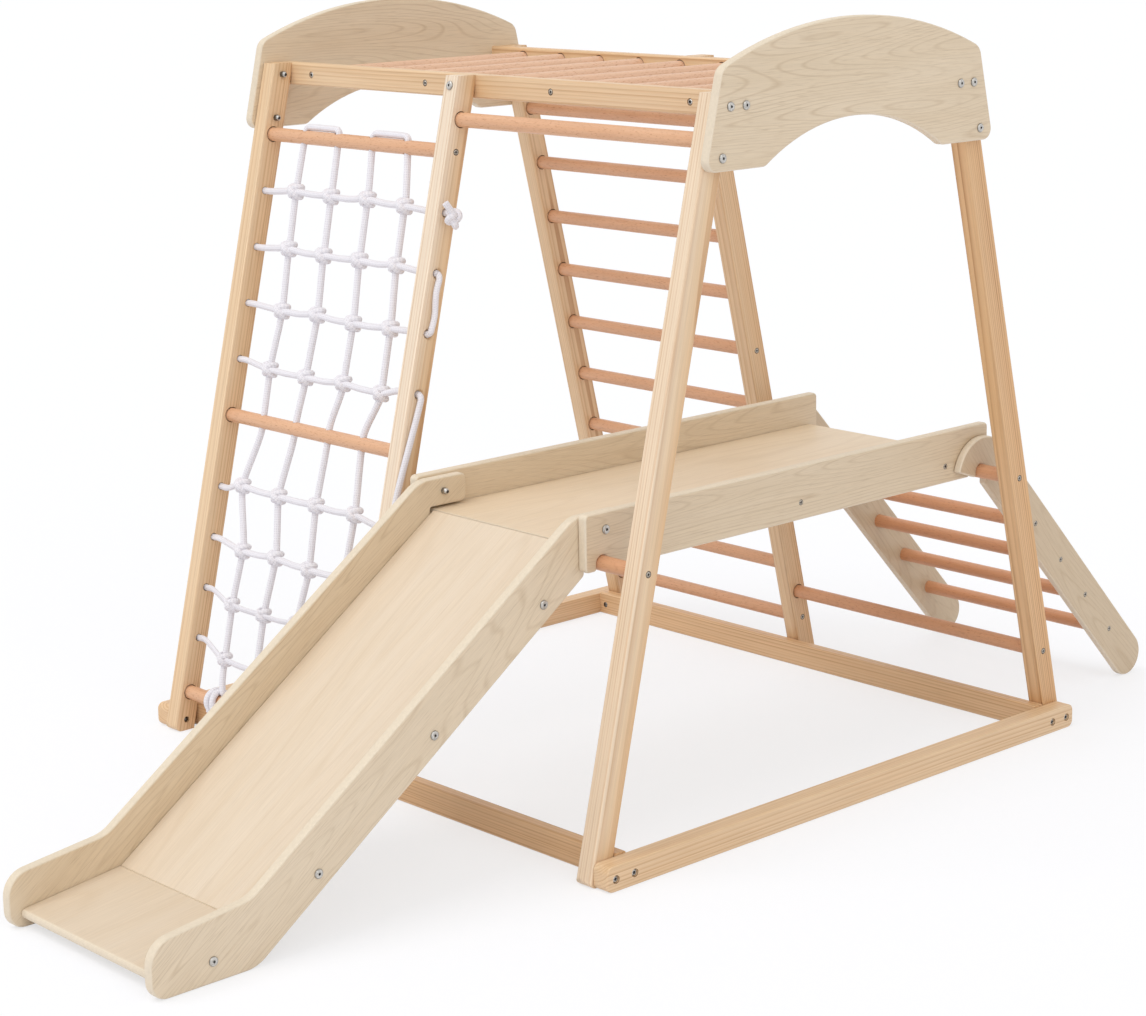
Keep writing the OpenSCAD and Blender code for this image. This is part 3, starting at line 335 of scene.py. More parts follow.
def ropeFinish(look):
    made, tree, shader = startFinish("braidedRope")
    way = put(tree, "ShaderNodeSeparateXYZ", {0: stored(tree, "ropeWay", "Vector")}).outputs
    angle = sums(tree, "MULTIPLY", sums(tree, "ARCTAN2", way[1], way[0]), look["strands"])
    run = sums(tree, "MULTIPLY", way[2], math.tau / look["braid"])
    oneWay = sums(tree, "SINE", sums(tree, "ADD", run, angle))
    otherWay = sums(tree, "SINE", sums(tree, "SUBTRACT", run, angle))
    plait = mapped(tree, sums(tree, "MULTIPLY", oneWay, otherWay), (0.0, 1.0), (-1.0, 1.0))
    position = put(tree, "ShaderNodeTexCoord").outputs["Object"]
    fuzz = noise(tree, position, *look["fuzz"])
    # the gap colour between the strands is painted shade
    woven = blendColours(tree, ramp(tree, plait, look["paintedGrooveShade"]), look["strand"], look["gap"])
    colour = darkened(tree, woven, fuzz, look["fuzzShade"])
    height = sums(tree, "ADD", plait, sums(tree, "MULTIPLY", fuzz, look["fuzzHeight"]))
    closeFinish(tree, shader, colour, mapped(tree, fuzz, look["rough"]), height, look)
    return made


# plated bolts and dulled screws; the shade rings are greys from a fastener's axis to its widest reach, painted
# shade: a dark socket in a screw's middle, a darker rim for the gap under a head, a darker equator on a cap nut
zincLook = {
    "bright": tint(214, 211, 206), "dull": tint(172, 169, 164), "rings": [(0, 1), (0.8, 1), (1, 0.7)],
    "cloud": (420, 4), "clouds": [(0.35, 0), (0.7, 1)], "turned": (2600, 2),
    "rough": (0.3, 0.46), "bump": (0.0001, 0.2), "shader": {"Metallic": 1.0},
}
nutLook = dict(zincLook, rings=[(0, 1), (0.75, 0.9), (1, 0.3)])
screwLook = dict(
    zincLook, bright=tint(216, 208, 196), dull=tint(182, 173, 160), rough=(0.4, 0.6),
    rings=[(0, 0.04), (0.33, 0.06), (0.42, 1), (0.85, 0.85), (0.93, 0.3), (1, 0.15)])
# the hex sockets get a dark steel: painted shade in the recess
paintedSocketLook = dict(
    zincLook, bright=tint(84, 82, 82), dull=tint(52, 50, 50), rough=(0.5, 0.7), rings=[(0, 1), (1, 1)])


def metalFinish(name, look):
    made, tree, shader = startFinish(name)
    position = put(tree, "ShaderNodeTexCoord").outputs["Object"]
    cloud = noise(tree, position, *look["cloud"])
    plain = blendColours(tree, ramp(tree, cloud, look["clouds"]), look["bright"], look["dull"])
    # painted shade by distance from the axis: dark socket, dark rim under the head
    colour = darkened(tree, plain, stored(tree, "fromAxis", "Fac"), look["rings"])
    turned = noise(tree, position, *look["turned"])
    closeFinish(tree, shader, colour, mapped(tree, cloud, look["rough"]), turned, look)
    return made


pine = pineFinish(pineLook)
beech = beechFinish(beechLook)
panelFace = veneerFinish("veneeredPanel", panelLook)
bedFace = veneerFinish("veneeredBed", bedLook)
deckFace = veneerFinish("veneeredDeck", deckLook)
panelEdge = edgeFinish("panelEdge", edgeLook)
paintedRimShade = edgeFinish("paintedRimShade", paintedRimLook)
braidedRope = ropeFinish(ropeLook)
zinc = metalFinish("platedSteel", zincLook)
nutSteel = metalFinish("nutSteel", nutLook)
dulled = metalFinish("dulledSteel", screwLook)
paintedSocketFinish = metalFinish("paintedSocketShadeSteel", paintedSocketLook)
print("finishes made")

# how each wooden piece lies: the direction of its grain and the way its face looks, slopes in degrees
slopes = {"leg": 13.3, "slide": 35.0, "runout": 7.0, "step": 46.6}


def sloped(degrees, forward):  # a direction in Y and Z that falls towards forward
    a = math.radians(degrees)
    return Vector((0, forward * math.cos(a), -math.sin(a)))


def layOf(node):
    if node.endswith("_leg"):
        lean = math.radians(slopes["leg"])
        side = -1 if node.startswith("front") else 1
        return Vector((0, -side * math.sin(lean), math.cos(lean))), alongX
    if node in ("left_ground_rail", "right_ground_rail"):
        return alongY, alongX
    if node.endswith("_rail") or "rung" in node:
        return alongX, alongY
    if node.startswith("monkey_bar"):
        return alongY, alongZ
    if node in ("slide_bed", "slide_left_side", "slide_right_side"):
        along = sloped(slopes["slide"], -1)
        return along, alongX if "side" in node else along.cross(alongX)
    if node == "slide_runout":
        along = sloped(slopes["runout"], -1)
        return along, along.cross(alongX)
    if node.startswith("step_ladder"):
        return sloped(slopes["step"], 1), alongX
    return alongY, alongZ if node == "platform_deck" else alongX


def joinedRuns(elements, beside):  # the elements in groups that hang together, always in the same order
    left = dict.fromkeys(elements)
    while left:
        group = [left.popitem()[0]]
        for element in group:
            for other in beside(element):
                if other in left:
                    del left[other]
                    group.append(other)
        yield group


# sheet pieces get a routed rim: the outline is drawn in steps round the edge, the holes stay as they are
sheetRim = {
    "rim": 0.0036, "steps": 4, "corner": 0.005, "cornerSteps": 5, "cornerTurn": 28, "cornerShare": 0.45,
    "flush": 2e-5, "flatShare": 0.99,
}


def rimLoops(shape, caps):  # loops round one face of the sheet, the outline first
    rim = dict.fromkeys(e for e in shape.edges if sum(f in caps for f in e.link_faces) == 1)
    loops = []
    while rim:
        loop = list(rim.popitem()[0].verts)
        while True:
            ahead = [e for e in loop[-1].link_edges if e in rim]
            if not ahead:
                break
            del rim[ahead[0]]
            loop.append(ahead[0].other_vert(loop[-1]))
        loops.append(loop[:-1])
    return sorted(loops, key=lambda loop: min(v.co.y for v in loop) - max(v.co.y for v in loop))


def softCorners(points):
    made = []
    for i, p in enumerate(points):
        before, after = points[i - 1] - p, points[(i + 1) % len(points)] - p
        turn = math.pi - before.angle(after)
        if turn < math.radians(sheetRim["cornerTurn"]):
            made.append(p)
            continue
        longest = sheetRim["cornerShare"] * min(before.length, after.length)
        reach = min(sheetRim["corner"] * math.tan(turn / 2), longest)
        a, b = p + before.normalized() * reach, p + after.normalized() * reach
        for n in range(sheetRim["cornerSteps"] + 1):
            t = n / sheetRim["cornerSteps"]
            made.append((1 - t) ** 2 * a + 2 * t * (1 - t) * p + t * t * b)
    return made


def insetLoop(points, by):
    made = []
    for i, p in enumerate(points):
        a = (p - points[i - 1]).normalized()
        b = (points[(i + 1) % len(points)] - p).normalized()
        inA, inB = Vector((-a.y, a.x)), Vector((-b.y, b.x))
        made.append(p + by * (inA + inB) / (1 + inA.dot(inB)))
    return made


def rimLevels(low, high):  # how far in and how high each ring of the rounded edge lies
    rim, count = sheetRim["rim"], sheetRim["steps"]
    turns = [math.pi / 2 * k / count for k in range(count + 1)]
    steps = [(rim * (1 - math.sin(t)), rim * (1 - math.cos(t))) for t in turns]
    return [(inset, low + deep) for inset, deep in steps] + [(inset, high - deep) for inset, deep in steps[::-1]]


def capSheet(shape, ring, holes, out):
    outlines = [ring] + holes
    spots = [v for loop in outlines for v in loop]
    for corners in tessellate_polygon([[v.co for v in loop] for loop in outlines]):
        face = shape.faces.new([spots[k] for k in corners])
        face.normal_update()
        if face.normal.x * out < 0:
            face.normal_flip()


def routRim(shape, node):
    low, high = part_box(node)
    flat = [f for f in shape.faces if abs(f.normal.x) > sheetRim["flatShare"]]
    caps = [
        {f for f in flat if all(abs(v.co.x - x) < sheetRim["flush"] for v in f.verts)} for x in (low.x, high.x)]
    loops = [rimLoops(shape, side) for side in caps]
    edge = {v for side in loops for v in side[0]}
    outline = [Vector((v.co.y, v.co.z)) for v in loops[1][0]]
    if sum(a.x * b.y - a.y * b.x for a, b in zip(outline, outline[1:] + outline[:1])) < 0:
        outline.reverse()
    outline = softCorners(outline)
    gone = [f for f in shape.faces if f in caps[0] or f in caps[1] or all(v in edge for v in f.verts)]
    bmesh.ops.delete(shape, geom=gone, context="FACES")
    levels = rimLevels(low.x, high.x)
    rings = [[shape.verts.new((x, *p)) for p in insetLoop(outline, inset)] for inset, x in levels]
    count = len(outline)
    for ring, beyond in zip(rings, rings[1:]):
        for i in range(count):
            j = (i + 1) % count
            shape.faces.new((ring[i], ring[j], beyond[j], beyond[i]))
    capSheet(shape, rings[0], loops[0][1:], -1)
    capSheet(shape, rings[-1], loops[1][1:], 1)


# bars and boards get eased edges; the rims of bores and sockets are known by least reach, most reach and cut
wood = {
    "easing": 0.002, "facets": 3, "longEdge": 0.06, "sharpTurn": 40, "smoothTurn": 36, "flatTurn": 0.3,
    "bores": (0.0095, 0.0145, 0.0006), "sockets": (0.024, 0.027, 0.0016), "boardGap": 0.0008, "halfLeg": 0.0215,
    "pithNear": 0.03, "pithReach": 0.045, "pithSteps": (0.381966, 0.618034), "grainSteps": (1.73, 0.91),
    "faceShare": 0.93,
}
boards = {"slide_bed": bedFace, "slide_runout": bedFace, "platform_deck": deckFace}
# tone of each piece, and how much paler its front is painted than its back: painted light, as on the lit front
toneOf = {
    "front_right_leg": (0.0, -0.5), "front_middle_leg": (-0.15, -0.65), "front_left_leg": (0.2, -0.2),
    "back_right_leg": (0.6, -0.1), "back_middle_leg": (0.28, -0.2), "back_left_leg": (0.28, -0.2),
    "platform_right_side": (0.15, 0.0), "step_ladder_left_side": (0.45, 0.0), "step_ladder_right_side": (0.45, 0.0),
    "step_ladder_rungs": (0.7, 0.0), "back_low_rung": (0.5, 0.0), "back_carrying_rung": (0.5, 0.0),
    "front_carrying_rung": (0.4, 0.0), "slide_right_side": (-0.15, 0.0), "slide_runout": (0.15, 0.0),
    "front_top_rail": (0.1, 0.0), "back_top_rail": (0.3, 0.0), "right_ground_rail": (0.05, 0.0),
    "left_ground_rail": (0.2, 0.0), "front_ground_rail": (0.42, 0.0), "back_ground_rail": (0.28, 0.0),
}
for n in range(1, 11):
    toneOf["monkey_bar_%d" % n] = (-0.3, 0.0)
    toneOf["ladder_rung_%d" % n] = (0.2, 0.0)


def edgesBeside(edge):
    return [e for v in edge.verts for e in v.link_edges]


def sharpRuns(shape):  # joined runs of sharp edges, with the reach of each
    least = math.radians(wood["sharpTurn"])
    sharp = [e for e in shape.edges if len(e.link_faces) == 2 and e.calc_face_angle() > least]
    for run in joinedRuns(sharp, edgesBeside):
        spots = [v.co for e in run for v in e.verts]
        yield run, max(max(p[k] for p in spots) - min(p[k] for p in spots) for k in range(3))


def easeRims(shape):  # marks the long edges and cuts the rims of the bores and sockets
    weights = shape.edges.layers.float.new("bevel_weight_edge")
    rims = {"bores": [], "sockets": []}
    for run, reach in sharpRuns(shape):
        if reach > wood["longEdge"]:
            for e in run:
                e[weights] = 1
        for kind in rims:
            least, most = wood[kind][:2]
            if least < reach < most:
                rims[kind] += run
    for kind, edges in rims.items():
        if edges:
            cut = wood[kind][2]
            # the cut rims take material 1, which on pine is a painted shade for the gap round a rung or bolt
            bmesh.ops.bevel(shape, geom=edges, offset=cut, segments=1, affect="EDGES", material=1)


def narrowBoard(shape, node):  # a hair of a gap along the sides
    low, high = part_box(node)
    for v in shape.verts:
        side = 1 if v.co.x > (low.x + high.x) / 2 else -1
        v.co.x -= side * wood["boardGap"]


def shapeWood(node, finishes, isSheet, isEased):
    shape = bmesh.new()
    shape.from_mesh(nodes[node].data)
    bmesh.ops.remove_doubles(shape, verts=shape.verts, dist=weld)
    if node in boards:
        narrowBoard(shape, node)
    if isSheet:
        routRim(shape, node)
    else:
        flatTurn = math.radians(wood["flatTurn"])
        bmesh.ops.dissolve_limit(shape, angle_limit=flatTurn, verts=shape.verts, edges=shape.edges)
    if isEased:
        easeRims(shape)
    rough = bpy.data.meshes.new(node + "_rough")
    for finish in finishes:
        rough.materials.append(finish)
    shape.to_mesh(rough)
    shape.free()
    rough.shade_smooth()
    rough.set_sharp_from_angle(angle=math.radians(wood["smoothTurn"]))
    piece = bpy.data.objects.new(node + "_wood", rough)
    scene.collection.objects.link(piece)
    if isEased:
        bevel = piece.modifiers.new("easing", "BEVEL")
        bevel.limit_method = "WEIGHT"
        bevel.width = wood["easing"]
        bevel.segments = wood["facets"]
    flat = piece.modifiers.new("flatFaces", "WEIGHTED_NORMAL")
    flat.keep_sharp = True
    made = bpy.data.meshes.new_from_object(piece.evaluated_get(bpy.context.evaluated_depsgraph_get()))
    piece.modifiers.clear()
    piece.data = made
    bpy.data.meshes.remove(rough)
    return piece


def grainStart(node, number):  # where in the wood a piece is cut; a bar's pith lies beside it, on any side
    alongStep, acrossStep = wood["grainSteps"]
    if slotOf[node] == "plywood":
        return Vector((number * alongStep, number * acrossStep, 0))
    turnShare, awayShare = ((number * step) % 1.0 for step in wood["pithSteps"])
    turn = math.tau * turnShare
    pith = wood["pithNear"] + wood["pithReach"] * awayShare
    return Vector((number * alongStep, math.cos(turn) * pith, math.sin(turn) * pith))


def dressWood(node, number, finishes, isSheet=False, isEased=False):
    piece = shapeWood(node, finishes, isSheet, isEased)
    made = piece.data
    along, face = layOf(node)
    across = face.cross(along)
    low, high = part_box(node)
    middle = (low + high) / 2
    start = grainStart(node, number)
    tone, paintedFrontLight = toneOf.get(node, (0.0, 0.0))
    spots, tones = [], []
    for v in made.vertices:
        p = v.co - middle
        spots += [p.dot(along) + start.x, p.dot(across) + start.y, p.dot(face) + start.z]
        # the slope across the bar is painted light: the front paler, the back darker
        tones.append(tone + paintedFrontLight * p.dot(across) / wood["halfLeg"])
    made.attributes.new("grain", "FLOAT_VECTOR", "POINT").data.foreach_set("vector", spots)
    made.attributes.new("tone", "FLOAT", "POINT").data.foreach_set("value", tones)
    if slotOf[node] == "plywood":
        for p in made.polygons:
            p.material_index = 1 if abs(p.normal.dot(face)) < wood["faceShare"] else 0
    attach(piece, bodyOf[node])
    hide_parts(node)


woodNodes = [n for n in nodes if slotOf[n] in ("pine", "beech", "plywood")]
for number, node in enumerate(woodNodes):
    if slotOf[node] == "pine":
        # pine's second finish is the painted shade on the rims of its bores and sockets
        dressWood(node, number, [pine, paintedRimShade], isEased=True)
    elif slotOf[node] == "beech":
        dressWood(node, number, [beech])
    elif node in boards:
        dressWood(node, number, [boards[node], panelEdge], isEased=True)
    else:
        dressWood(node, number, [panelFace, panelEdge], isSheet=True)
print("wood dressed,", len(woodNodes), "pieces")

# bolts, nuts and screws know the distance from their own axis; the sockets in their heads get a painted shade
fastener = {"socket": 0.0027, "headDepth": 0.004, "edgeTurn": 50}
fastenerFinish = {"bolts": zinc, "nuts": nutSteel, "screws": dulled}


def vertsBeside(vert):
    return [v for e in vert.link_edges for v in e.verts]


def axisOf(verts):  # the middle of one fastener and its direction towards the head
    spots = np.array([v.co for v in verts])
    centre = Vector(spots.mean(axis=0))
    axis = Vector(np.linalg.eigh(np.cov(spots.T))[1][:, 2])
    heights = [(v.co - centre).dot(axis) for v in verts]
    isTurned = sum(heights) / len(heights) < (max(heights) + min(heights)) / 2
    return centre, -axis if isTurned else axis


def dressFasteners(node, finish):
    shape = bmesh.new()
    shape.from_mesh(nodes[node].data)
    bmesh.ops.remove_doubles(shape, verts=shape.verts, dist=weld)
    away = shape.verts.layers.float.new("fromAxis")
    inSocket = set()
    for verts in joinedRuns(shape.verts, vertsBeside):
        centre, axis = axisOf(verts)
        top = max((v.co - centre).dot(axis) for v in verts)
        widest = max((v.co - centre).cross(axis).length for v in verts)
        for v in verts:
            v[away] = (v.co - centre).cross(axis).length / widest
        for f in {f for v in verts for f in v.link_faces}:
            p = f.calc_center_median() - centre
            isHigh = p.dot(axis) > top - fastener["headDepth"]
            if isHigh and (p - p.dot(axis) * axis).length < fastener["socket"]:
                inSocket.add(f)
    # faces in the socket take the painted shade
    for f in shape.faces:
        f.material_index = 1 if f in inSocket else 0
    rough = bpy.data.meshes.new(node + "_rough")
    shape.to_mesh(rough)
    shape.free()
    rough.materials.append(finish)
    rough.materials.append(paintedSocketFinish)
    rough.shade_smooth()
    rough.set_sharp_from_angle(angle=math.radians(fastener["edgeTurn"]))
    piece = bpy.data.objects.new(node + "_plated", rough)
    scene.collection.objects.link(piece)
    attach(piece, bodyOf[node])
    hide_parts(node)


for node in nodes:
    if slotOf[node] in ("steel", "dark_steel"):
        dressFasteners(node, fastenerFinish[node.split("_")[-1]])
print("fasteners finished")

# the rope net: two hanging ropes and one cross rope on their real route, in metres and degrees
net = {
    "ropeSize": 0.012, "sides": 12, "step": 0.003, "closest": 0.0008,
    "columns": 4, "rows": 4, "topZ": 1.0735, "lowZ": 0.070, "carryZ": 0.4764, "rungSize": 0.025,
    "rowLowShares": (0.257, 0.182), "sag": (-0.005, -0.003, 0.002, 0.008, -0.009, 0.008, 0.017, 0.024),
    "innerX": -0.537, "outerX": -0.570, "midLeft": -0.0595, "midRight": -0.0265, "lead": 0.02,
    "depth": 1.183, "legDepth": 0.043, "shiftY": 0.180162, "gap": 0.0003, "bend": 0.0096, "bendSteps": 6,
    "slack": 0.002, "bow": 0.004, "bowSteps": (1.9, 0.7), "bowShares": (0.3, 0.7),
    "knotHalf": 0.008, "rungPassShare": 0.7,
}
# a hitch of the cross rope round a hanging rope; keys are its rise over the turns
hitchShape = {
    "radius": 0.0088, "rideRadius": 0.0126, "rise": 0.0084, "turns": 2.5, "lead": 0.1, "points": 48,
    "ride": (1, 1.5), "keys": [(0, 0), (0.5, 1), (1, 1), (1.5, -1), (2, -1), (2.5, 0)],
    "uneven": 0.25, "unevenSteps": (2.1, 3.7),
}
endShape = {
    "size": 0.0034, "out": 0.0199, "hang": 0.008, "turn": 205, "tail": 0.033, "lead": 0.005,
    "points": 45, "start": 40, "sweep": 300, "depth": 1.5, "stretch": 0.3,
}
tieShape = {
    "turns": 2.6, "pitch": 1.06, "bulge": 0.010, "shift": 0.8, "points": 96, "slack": 0.0004,
    "leave": 1.25, "rise": 0.016, "front": 0.004,
}
# shift of the first and the last knot of each row along the row
rowShift = [
    (-0.003, 0.017), (0.001, 0.019), (0.008, 0.028), (-0.002, 0.030),
    (-0.031, 0.008), (-0.003, 0.004), (-0.010, -0.010), (-0.008, -0.008),
]
leanTurn = math.radians(slopes["leg"])
upNet = Vector((0, math.sin(leanTurn), math.cos(leanTurn)))
frontNet = Vector((0, -math.cos(leanTurn), math.sin(leanTurn)))
ropeHalf = net["ropeSize"] / 2
lift = ropeHalf + net["gap"]
rungHalf = net["rungSize"] / 2


def onNet(x, z, out=0.0):  # a point of the net's plane, which follows the middle of the leaning legs
    y = net["depth"] / 2 - z * math.tan(leanTurn) - net["legDepth"] / math.cos(leanTurn) / 2
    return Vector((x, out - y + net["shiftY"], z))


midZ = (net["topZ"] + net["lowZ"]) / 2
rowCount = 2 * net["rows"]
firstLow, stepLow = net["rowLowShares"]
rowZ = [net["topZ"] - (net["topZ"] - midZ) * i / (net["rows"] + 1) for i in range(1, net["rows"] + 1)]
rowZ += [midZ - (midZ - net["lowZ"]) * (firstLow + i * stepLow) for i in range(net["rows"])]
netWidth = net["midLeft"] - net["innerX"]
columnX = [net["innerX"] + netWidth * i / (net["columns"] + 1) for i in range(1, net["columns"] + 1)]


def knotPlace(i, k):
    first, last = rowShift[i]
    shift = first + (last - first) * k / (net["columns"] - 1)
    return onNet(columnX[k] + shift, rowZ[i] - net["sag"][i])


def between(keys, u):  # eased steps through a list of (place, value)
    for (u0, v0), (u1, v1) in zip(keys, keys[1:]):
        if u <= u1:
            t = (u - u0) / (u1 - u0)
            return v0 + (v1 - v0) * t * t * (3 - 2 * t)
    return keys[-1][1]


def hitch(place, uneven):  # two turns round the hanging rope, with a strand riding over them
    points = []
    start, end = hitchShape["lead"], hitchShape["turns"] - hitchShape["lead"]
    rideFrom, rideTo = hitchShape["ride"]
    for n in range(hitchShape["points"] + 1):
        u = start + (end - start) * n / hitchShape["points"]
        a = math.pi - math.tau * u
        ride = math.sin(math.tau * (u - rideFrom)) ** 2 if rideFrom < u < rideTo else 0
        radius = hitchShape["radius"] + (hitchShape["rideRadius"] - hitchShape["radius"]) * ride
        rise = hitchShape["rise"] * (between(hitchShape["keys"], u) + uneven)
        points.append(place + radius * (math.cos(a) * alongX + math.sin(a) * frontNet) + rise * upNet)
    return points


def rowPath(i):
    z = rowZ[i]
    path = [onNet(x, z) for x in (net["outerX"], net["innerX"], net["innerX"] + net["lead"])]
    rowStep, columnStep = hitchShape["unevenSteps"]
    for k in range(net["columns"]):
        place = knotPlace(i, k)
        path += hitch(place, hitchShape["uneven"] * math.sin(rowStep * i + columnStep * k))
        if k < net["columns"] - 1:
            path.append((place + knotPlace(i, k + 1)) / 2 - net["slack"] * upNet)
    return path + [onNet(x, z) for x in (net["midLeft"] - net["lead"], net["midLeft"], net["midRight"])]


def quarterBend(start, a, b):
    turns = [math.pi / 2 * k / net["bendSteps"] for k in range(net["bendSteps"] + 1)]
    return [start + net["bend"] * (math.sin(t) * a + (1 - math.cos(t)) * b) for t in turns]


def linkPath(i, x, out):  # down the outer face of a leg to the next row, behind the carrying rung if it is there
    start = onNet(x + out * (lift - net["bend"]), rowZ[i])
    end = onNet(x + out * (lift - net["bend"]), rowZ[i + 1])
    middle = []
    if out > 0 and rowZ[i] > net["carryZ"] > rowZ[i + 1]:
        away = -(rungHalf + lift + ropeHalf / 2)
        middle = [onNet(x + out * lift, net["carryZ"] + s * net["rungSize"], away) for s in (1, 0, -1)]
    else:
        step, first = net["bowSteps"]
        bow = net["bow"] * math.sin(step * i + first)
        for share, side in zip(net["bowShares"], (1, -1)):
            place = onNet(x + out * lift, rowZ[i] + (rowZ[i + 1] - rowZ[i]) * share)
            middle.append(place + bow * side * frontNet)
    down = quarterBend(start, out * alongX, -upNet)
    up = quarterBend(end, out * alongX, upNet)
    return down + middle + up[::-1]


def endKnot(i):  # an overhand knot right at its hole, on the middle leg's outer face, with a short tail
    hole = onNet(net["midRight"], rowZ[i])
    centre = hole + alongX * endShape["out"] - upNet * endShape["hang"]
    turn = math.radians(endShape["turn"])
    a = math.cos(turn) * frontNet + math.sin(turn) * upNet
    b = math.cos(turn) * upNet - math.sin(turn) * frontNet
    points = [hole, hole + endShape["lead"] * alongX]
    for n in range(endShape["points"] + 1):
        t = math.radians(endShape["start"] + endShape["sweep"] * n / endShape["points"])
        away = endShape["size"] * (
            (math.sin(t) + 2 * math.sin(2 * t)) * a
            + (math.cos(t) - 2 * math.cos(2 * t)) * b
            - endShape["depth"] * math.sin(3 * t) * alongX)
        points.append(centre + away + endShape["stretch"] * away.dot(upNet) * upNet)
    return points + [centre + endShape["tail"] * (frontNet + upNet).normalized()]


def strandPath(k):  # up through the knots of one column, and through the middle rung
    path = []
    for i in range(rowCount - 1, -1, -1):
        place = knotPlace(i, k)
        path += [place - net["knotHalf"] * upNet, place + net["knotHalf"] * upNet]
        if i == net["rows"]:
            half = net["rungPassShare"] * net["rungSize"]
            path += [onNet(columnX[k], midZ) + s * half * upNet for s in (-1, 1)]
    return path


def tiePath(k):  # turns side by side round the bottom rung, spread a little at the front
    axis = onNet(columnX[k], net["lowZ"])
    radius = rungHalf + lift + tieShape["slack"]
    reach = net["ropeSize"] * tieShape["pitch"] * tieShape["turns"]
    path = []
    for n in range(tieShape["points"] + 1):
        share = n / tieShape["points"]
        a = math.tau * (tieShape["leave"] + tieShape["turns"] * (share - 1))
        bulge = tieShape["bulge"] * (share - 0.5) * max(0, -math.cos(a)) ** 2
        aside = reach * (share - tieShape["shift"]) + bulge
        path.append(axis + Vector((aside, radius * math.cos(a), radius * math.sin(a))))
    path.append(axis + (radius + tieShape["rise"]) * upNet + tieShape["front"] * frontNet)
    return path


def bightPath(a, b):  # over the top rung from one strand to the next
    top = onNet(0, net["topZ"]) + (rungHalf + lift - net["bend"]) * upNet
    rise = quarterBend(top + columnX[a] * alongX, upNet, alongX)
    fall = quarterBend(top + columnX[b] * alongX, upNet, -alongX)
    return rise + fall[::-1]


def smoothRoute(points):  # even points on a smooth curve through the route's own points
    kept = [points[0]]
    for p in points[1:]:
        if (p - kept[-1]).length > net["closest"]:
            kept.append(p)
    ends = [2 * kept[0] - kept[1]] + kept + [2 * kept[-1] - kept[-2]]
    route = []
    for i in range(1, len(ends) - 2):
        p0, p1, p2, p3 = ends[i - 1:i + 3]
        d0, d1, d2 = ((b - a).length ** 0.5 for a, b in ((p0, p1), (p1, p2), (p2, p3)))
        m1 = (p2 - p1) + d1 * ((p1 - p0) / d0 - (p2 - p0) / (d0 + d1))
        m2 = (p2 - p1) + d1 * ((p3 - p2) / d2 - (p3 - p1) / (d1 + d2))
        parts = max(1, round((p2 - p1).length / net["step"]))
        for n in range(parts):
            t = n / parts
            route.append((2 * t**3 - 3 * t**2 + 1) * p1 + (t**3 - 2 * t**2 + t) * m1
                         + (3 * t**2 - 2 * t**3) * p2 + (t**3 - t**2) * m2)
    return route + [kept[-1]]


def ropeTree():  # a tube along each curve, with its way along and round kept for the braid
    tree = bpy.data.node_groups.new("ropeSweep", "GeometryNodeTree")
    sockets = {}
    face = tree.interface
    for name, kind in (("Geometry", "Geometry"), ("ropeSize", "Float"), ("sides", "Int"), ("finish", "Material")):
        sockets[name] = face.new_socket(name, in_out="INPUT", socket_type="NodeSocket" + kind).identifier
    face.new_socket("Geometry", in_out="OUTPUT", socket_type="NodeSocketGeometry")
    given = put(tree, "NodeGroupInput").outputs
    run = put(tree, "GeometryNodeSplineParameter").outputs["Length"]
    kept = put(tree, "GeometryNodeCaptureAttribute", {"Geometry": given["Geometry"]})
    kept.capture_items.new("FLOAT", "run")
    tree.links.new(run, kept.inputs["run"])
    ring = put(tree, "GeometryNodeCurvePrimitiveCircle", {"Resolution": given["sides"], "Radius": 1.0})
    around = put(tree, "GeometryNodeCaptureAttribute", {"Geometry": ring.outputs["Curve"]})
    around.capture_items.new("VECTOR", "around")
    tree.links.new(put(tree, "GeometryNodeInputPosition").outputs[0], around.inputs["around"])
    half = sums(tree, "MULTIPLY", given["ropeSize"], 0.5)
    size = put(tree, "ShaderNodeCombineXYZ", {0: half, 1: half, 2: half}).outputs[0]
    profile = put(tree, "GeometryNodeTransform", {"Geometry": around.outputs["Geometry"], "Scale": size})
    tube = put(tree, "GeometryNodeCurveToMesh", {
        "Curve": kept.outputs["Geometry"], "Profile Curve": profile.outputs[0], "Fill Caps": True})
    parts = put(tree, "ShaderNodeSeparateXYZ", {0: around.outputs["around"]}).outputs
    way = put(tree, "ShaderNodeCombineXYZ", {0: parts[0], 1: parts[1], 2: kept.outputs["run"]}).outputs[0]
    marked = put(tree, "GeometryNodeStoreNamedAttribute", {
        "Geometry": tube.outputs[0], "Name": "ropeWay", "Value": way}, data_type="FLOAT_VECTOR", domain="POINT")
    real = put(tree, "GeometryNodeRealizeInstances", {"Geometry": marked.outputs[0]})
    smooth = put(tree, "GeometryNodeSetShadeSmooth", {"Geometry": real.outputs[0]})
    painted = put(tree, "GeometryNodeSetMaterial", {"Geometry": smooth.outputs[0], "Material": given["finish"]})
    put(tree, "NodeGroupOutput", {0: painted.outputs[0]})
    return tree, sockets


def sweepRopes(name, routes):
    data = bpy.data.curves.new(name + "_route", "CURVE")
    data.dimensions = "3D"
    for route in routes:
        spline = data.splines.new("POLY")
        spline.points.add(len(route) - 1)
        spline.points.foreach_set("co", [c for p in route for c in (*p, 1)])
    guide = bpy.data.objects.new(name + "_route", data)
    scene.collection.objects.link(guide)
    tree, sockets = ropeTree()
    swept = guide.modifiers.new("sweep", "NODES")
    swept.node_group = tree
    swept[sockets["ropeSize"]] = net["ropeSize"]
    swept[sockets["sides"]] = net["sides"]
    swept[sockets["finish"]] = braidedRope
    made = bpy.data.meshes.new_from_object(guide.evaluated_get(bpy.context.evaluated_depsgraph_get()))
    bpy.data.objects.remove(guide)
    piece = bpy.data.objects.new(name, made)
    scene.collection.objects.link(piece)
    return piece


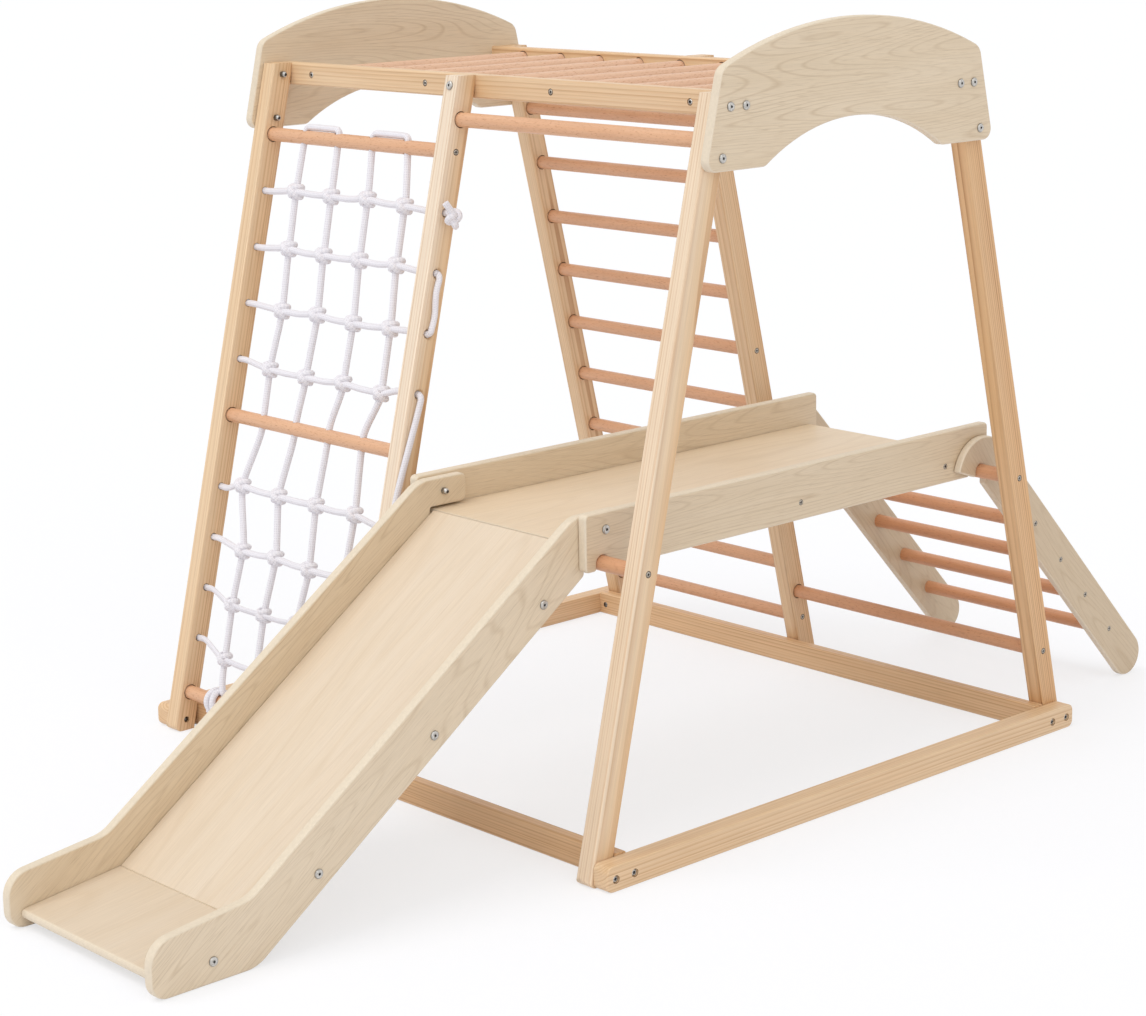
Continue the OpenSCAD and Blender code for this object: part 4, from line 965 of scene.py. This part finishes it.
crossRope = endKnot(0)[::-1]
for i in range(rowCount):
    crossRope += rowPath(i)[::-1] if i % 2 == 0 else rowPath(i)
    if i == rowCount - 1:
        crossRope += endKnot(i)
    elif i % 2 == 0:
        crossRope += linkPath(i, net["outerX"], -1)
    else:
        crossRope += linkPath(i, net["midRight"], 1)
ropes = [crossRope]
for a in range(0, net["columns"], 2):
    rising, falling = (tiePath(k) + strandPath(k) for k in (a, a + 1))
    ropes.append(rising + bightPath(a, a + 1) + falling[::-1])
netRope = sweepRopes("climbing_net_rope", [smoothRoute(r) for r in ropes])
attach(netRope, "frame")
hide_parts("climbing_net")
print("net roped,", len(netRope.data.polygons), "faces")

# plain white floor that keeps the shadow, soft even light; lamps are turn, rise, strength and softness
studio = {
    "floorReach": 30.0, "floorWhite": tint(248, 249, 255), "shadowShare": 0.36, "sky": 0.62,
    "floorShader": {"Roughness": 0.9, "Specular IOR Level": 0.1},
    "lamps": {"key": (-20, 62, 1.15, 40), "fill": (62, 38, 0.6, 60)}, "lampAway": 5,
}


def seenRays(tree):  # rays that should meet the white background
    rays = put(tree, "ShaderNodeLightPath").outputs
    seen = sums(tree, "MAXIMUM", rays["Is Camera Ray"], rays["Is Glossy Ray"])
    return sums(tree, "MAXIMUM", seen, rays["Is Transmission Ray"])


def layFloor(look):
    r = look["floorReach"]
    sheet = bpy.data.meshes.new("studioFloor")
    sheet.from_pydata([(-r, -r, 0), (r, -r, 0), (r, r, 0), (-r, r, 0)], [], [(0, 1, 2, 3)])
    floor = bpy.data.objects.new("studioFloor", sheet)
    scene.collection.objects.link(floor)
    made, tree, shader = startFinish("studioWhite")
    shader.inputs["Base Color"].default_value = look["floorWhite"]
    for name, value in look["floorShader"].items():
        shader.inputs[name].default_value = value
    glow = put(tree, "ShaderNodeEmission", {"Color": grey(1), "Strength": 1.0})
    share = sums(tree, "MULTIPLY", seenRays(tree), 1 - look["shadowShare"])
    both = put(tree, "ShaderNodeMixShader", {0: share, 1: shader.outputs[0], 2: glow.outputs[0]})
    tree.links.new(both.outputs[0], tree.nodes["Material Output"].inputs["Surface"])
    sheet.materials.append(made)


def lightSky(look):
    world = bpy.data.worlds.new("studioSky")
    scene.world = world
    world.use_nodes = True
    tree = world.node_tree
    light = tree.nodes["Background"]
    light.inputs["Color"].default_value = grey(1)
    light.inputs["Strength"].default_value = look["sky"]
    white = put(tree, "ShaderNodeBackground", {"Color": grey(1), "Strength": 1.0})
    both = put(tree, "ShaderNodeMixShader", {0: seenRays(tree), 1: light.outputs[0], 2: white.outputs[0]})
    tree.links.new(both.outputs[0], tree.nodes["World Output"].inputs["Surface"])


def hangLamps(look):
    for name, (turn, rise, strength, softness) in look["lamps"].items():
        data = bpy.data.lights.new(name + "Lamp", "SUN")
        data.energy = strength
        data.angle = math.radians(softness)
        lamp = bpy.data.objects.new(name + "Lamp", data)
        scene.collection.objects.link(lamp)
        back = outwards(turn, rise)
        lamp.rotation_mode = "QUATERNION"
        lamp.rotation_quaternion = back.to_track_quat("Z", "Y")
        lamp.location = back * look["lampAway"]


layFloor(studio)
lightSky(studio)
hangLamps(studio)
print("studio lit")
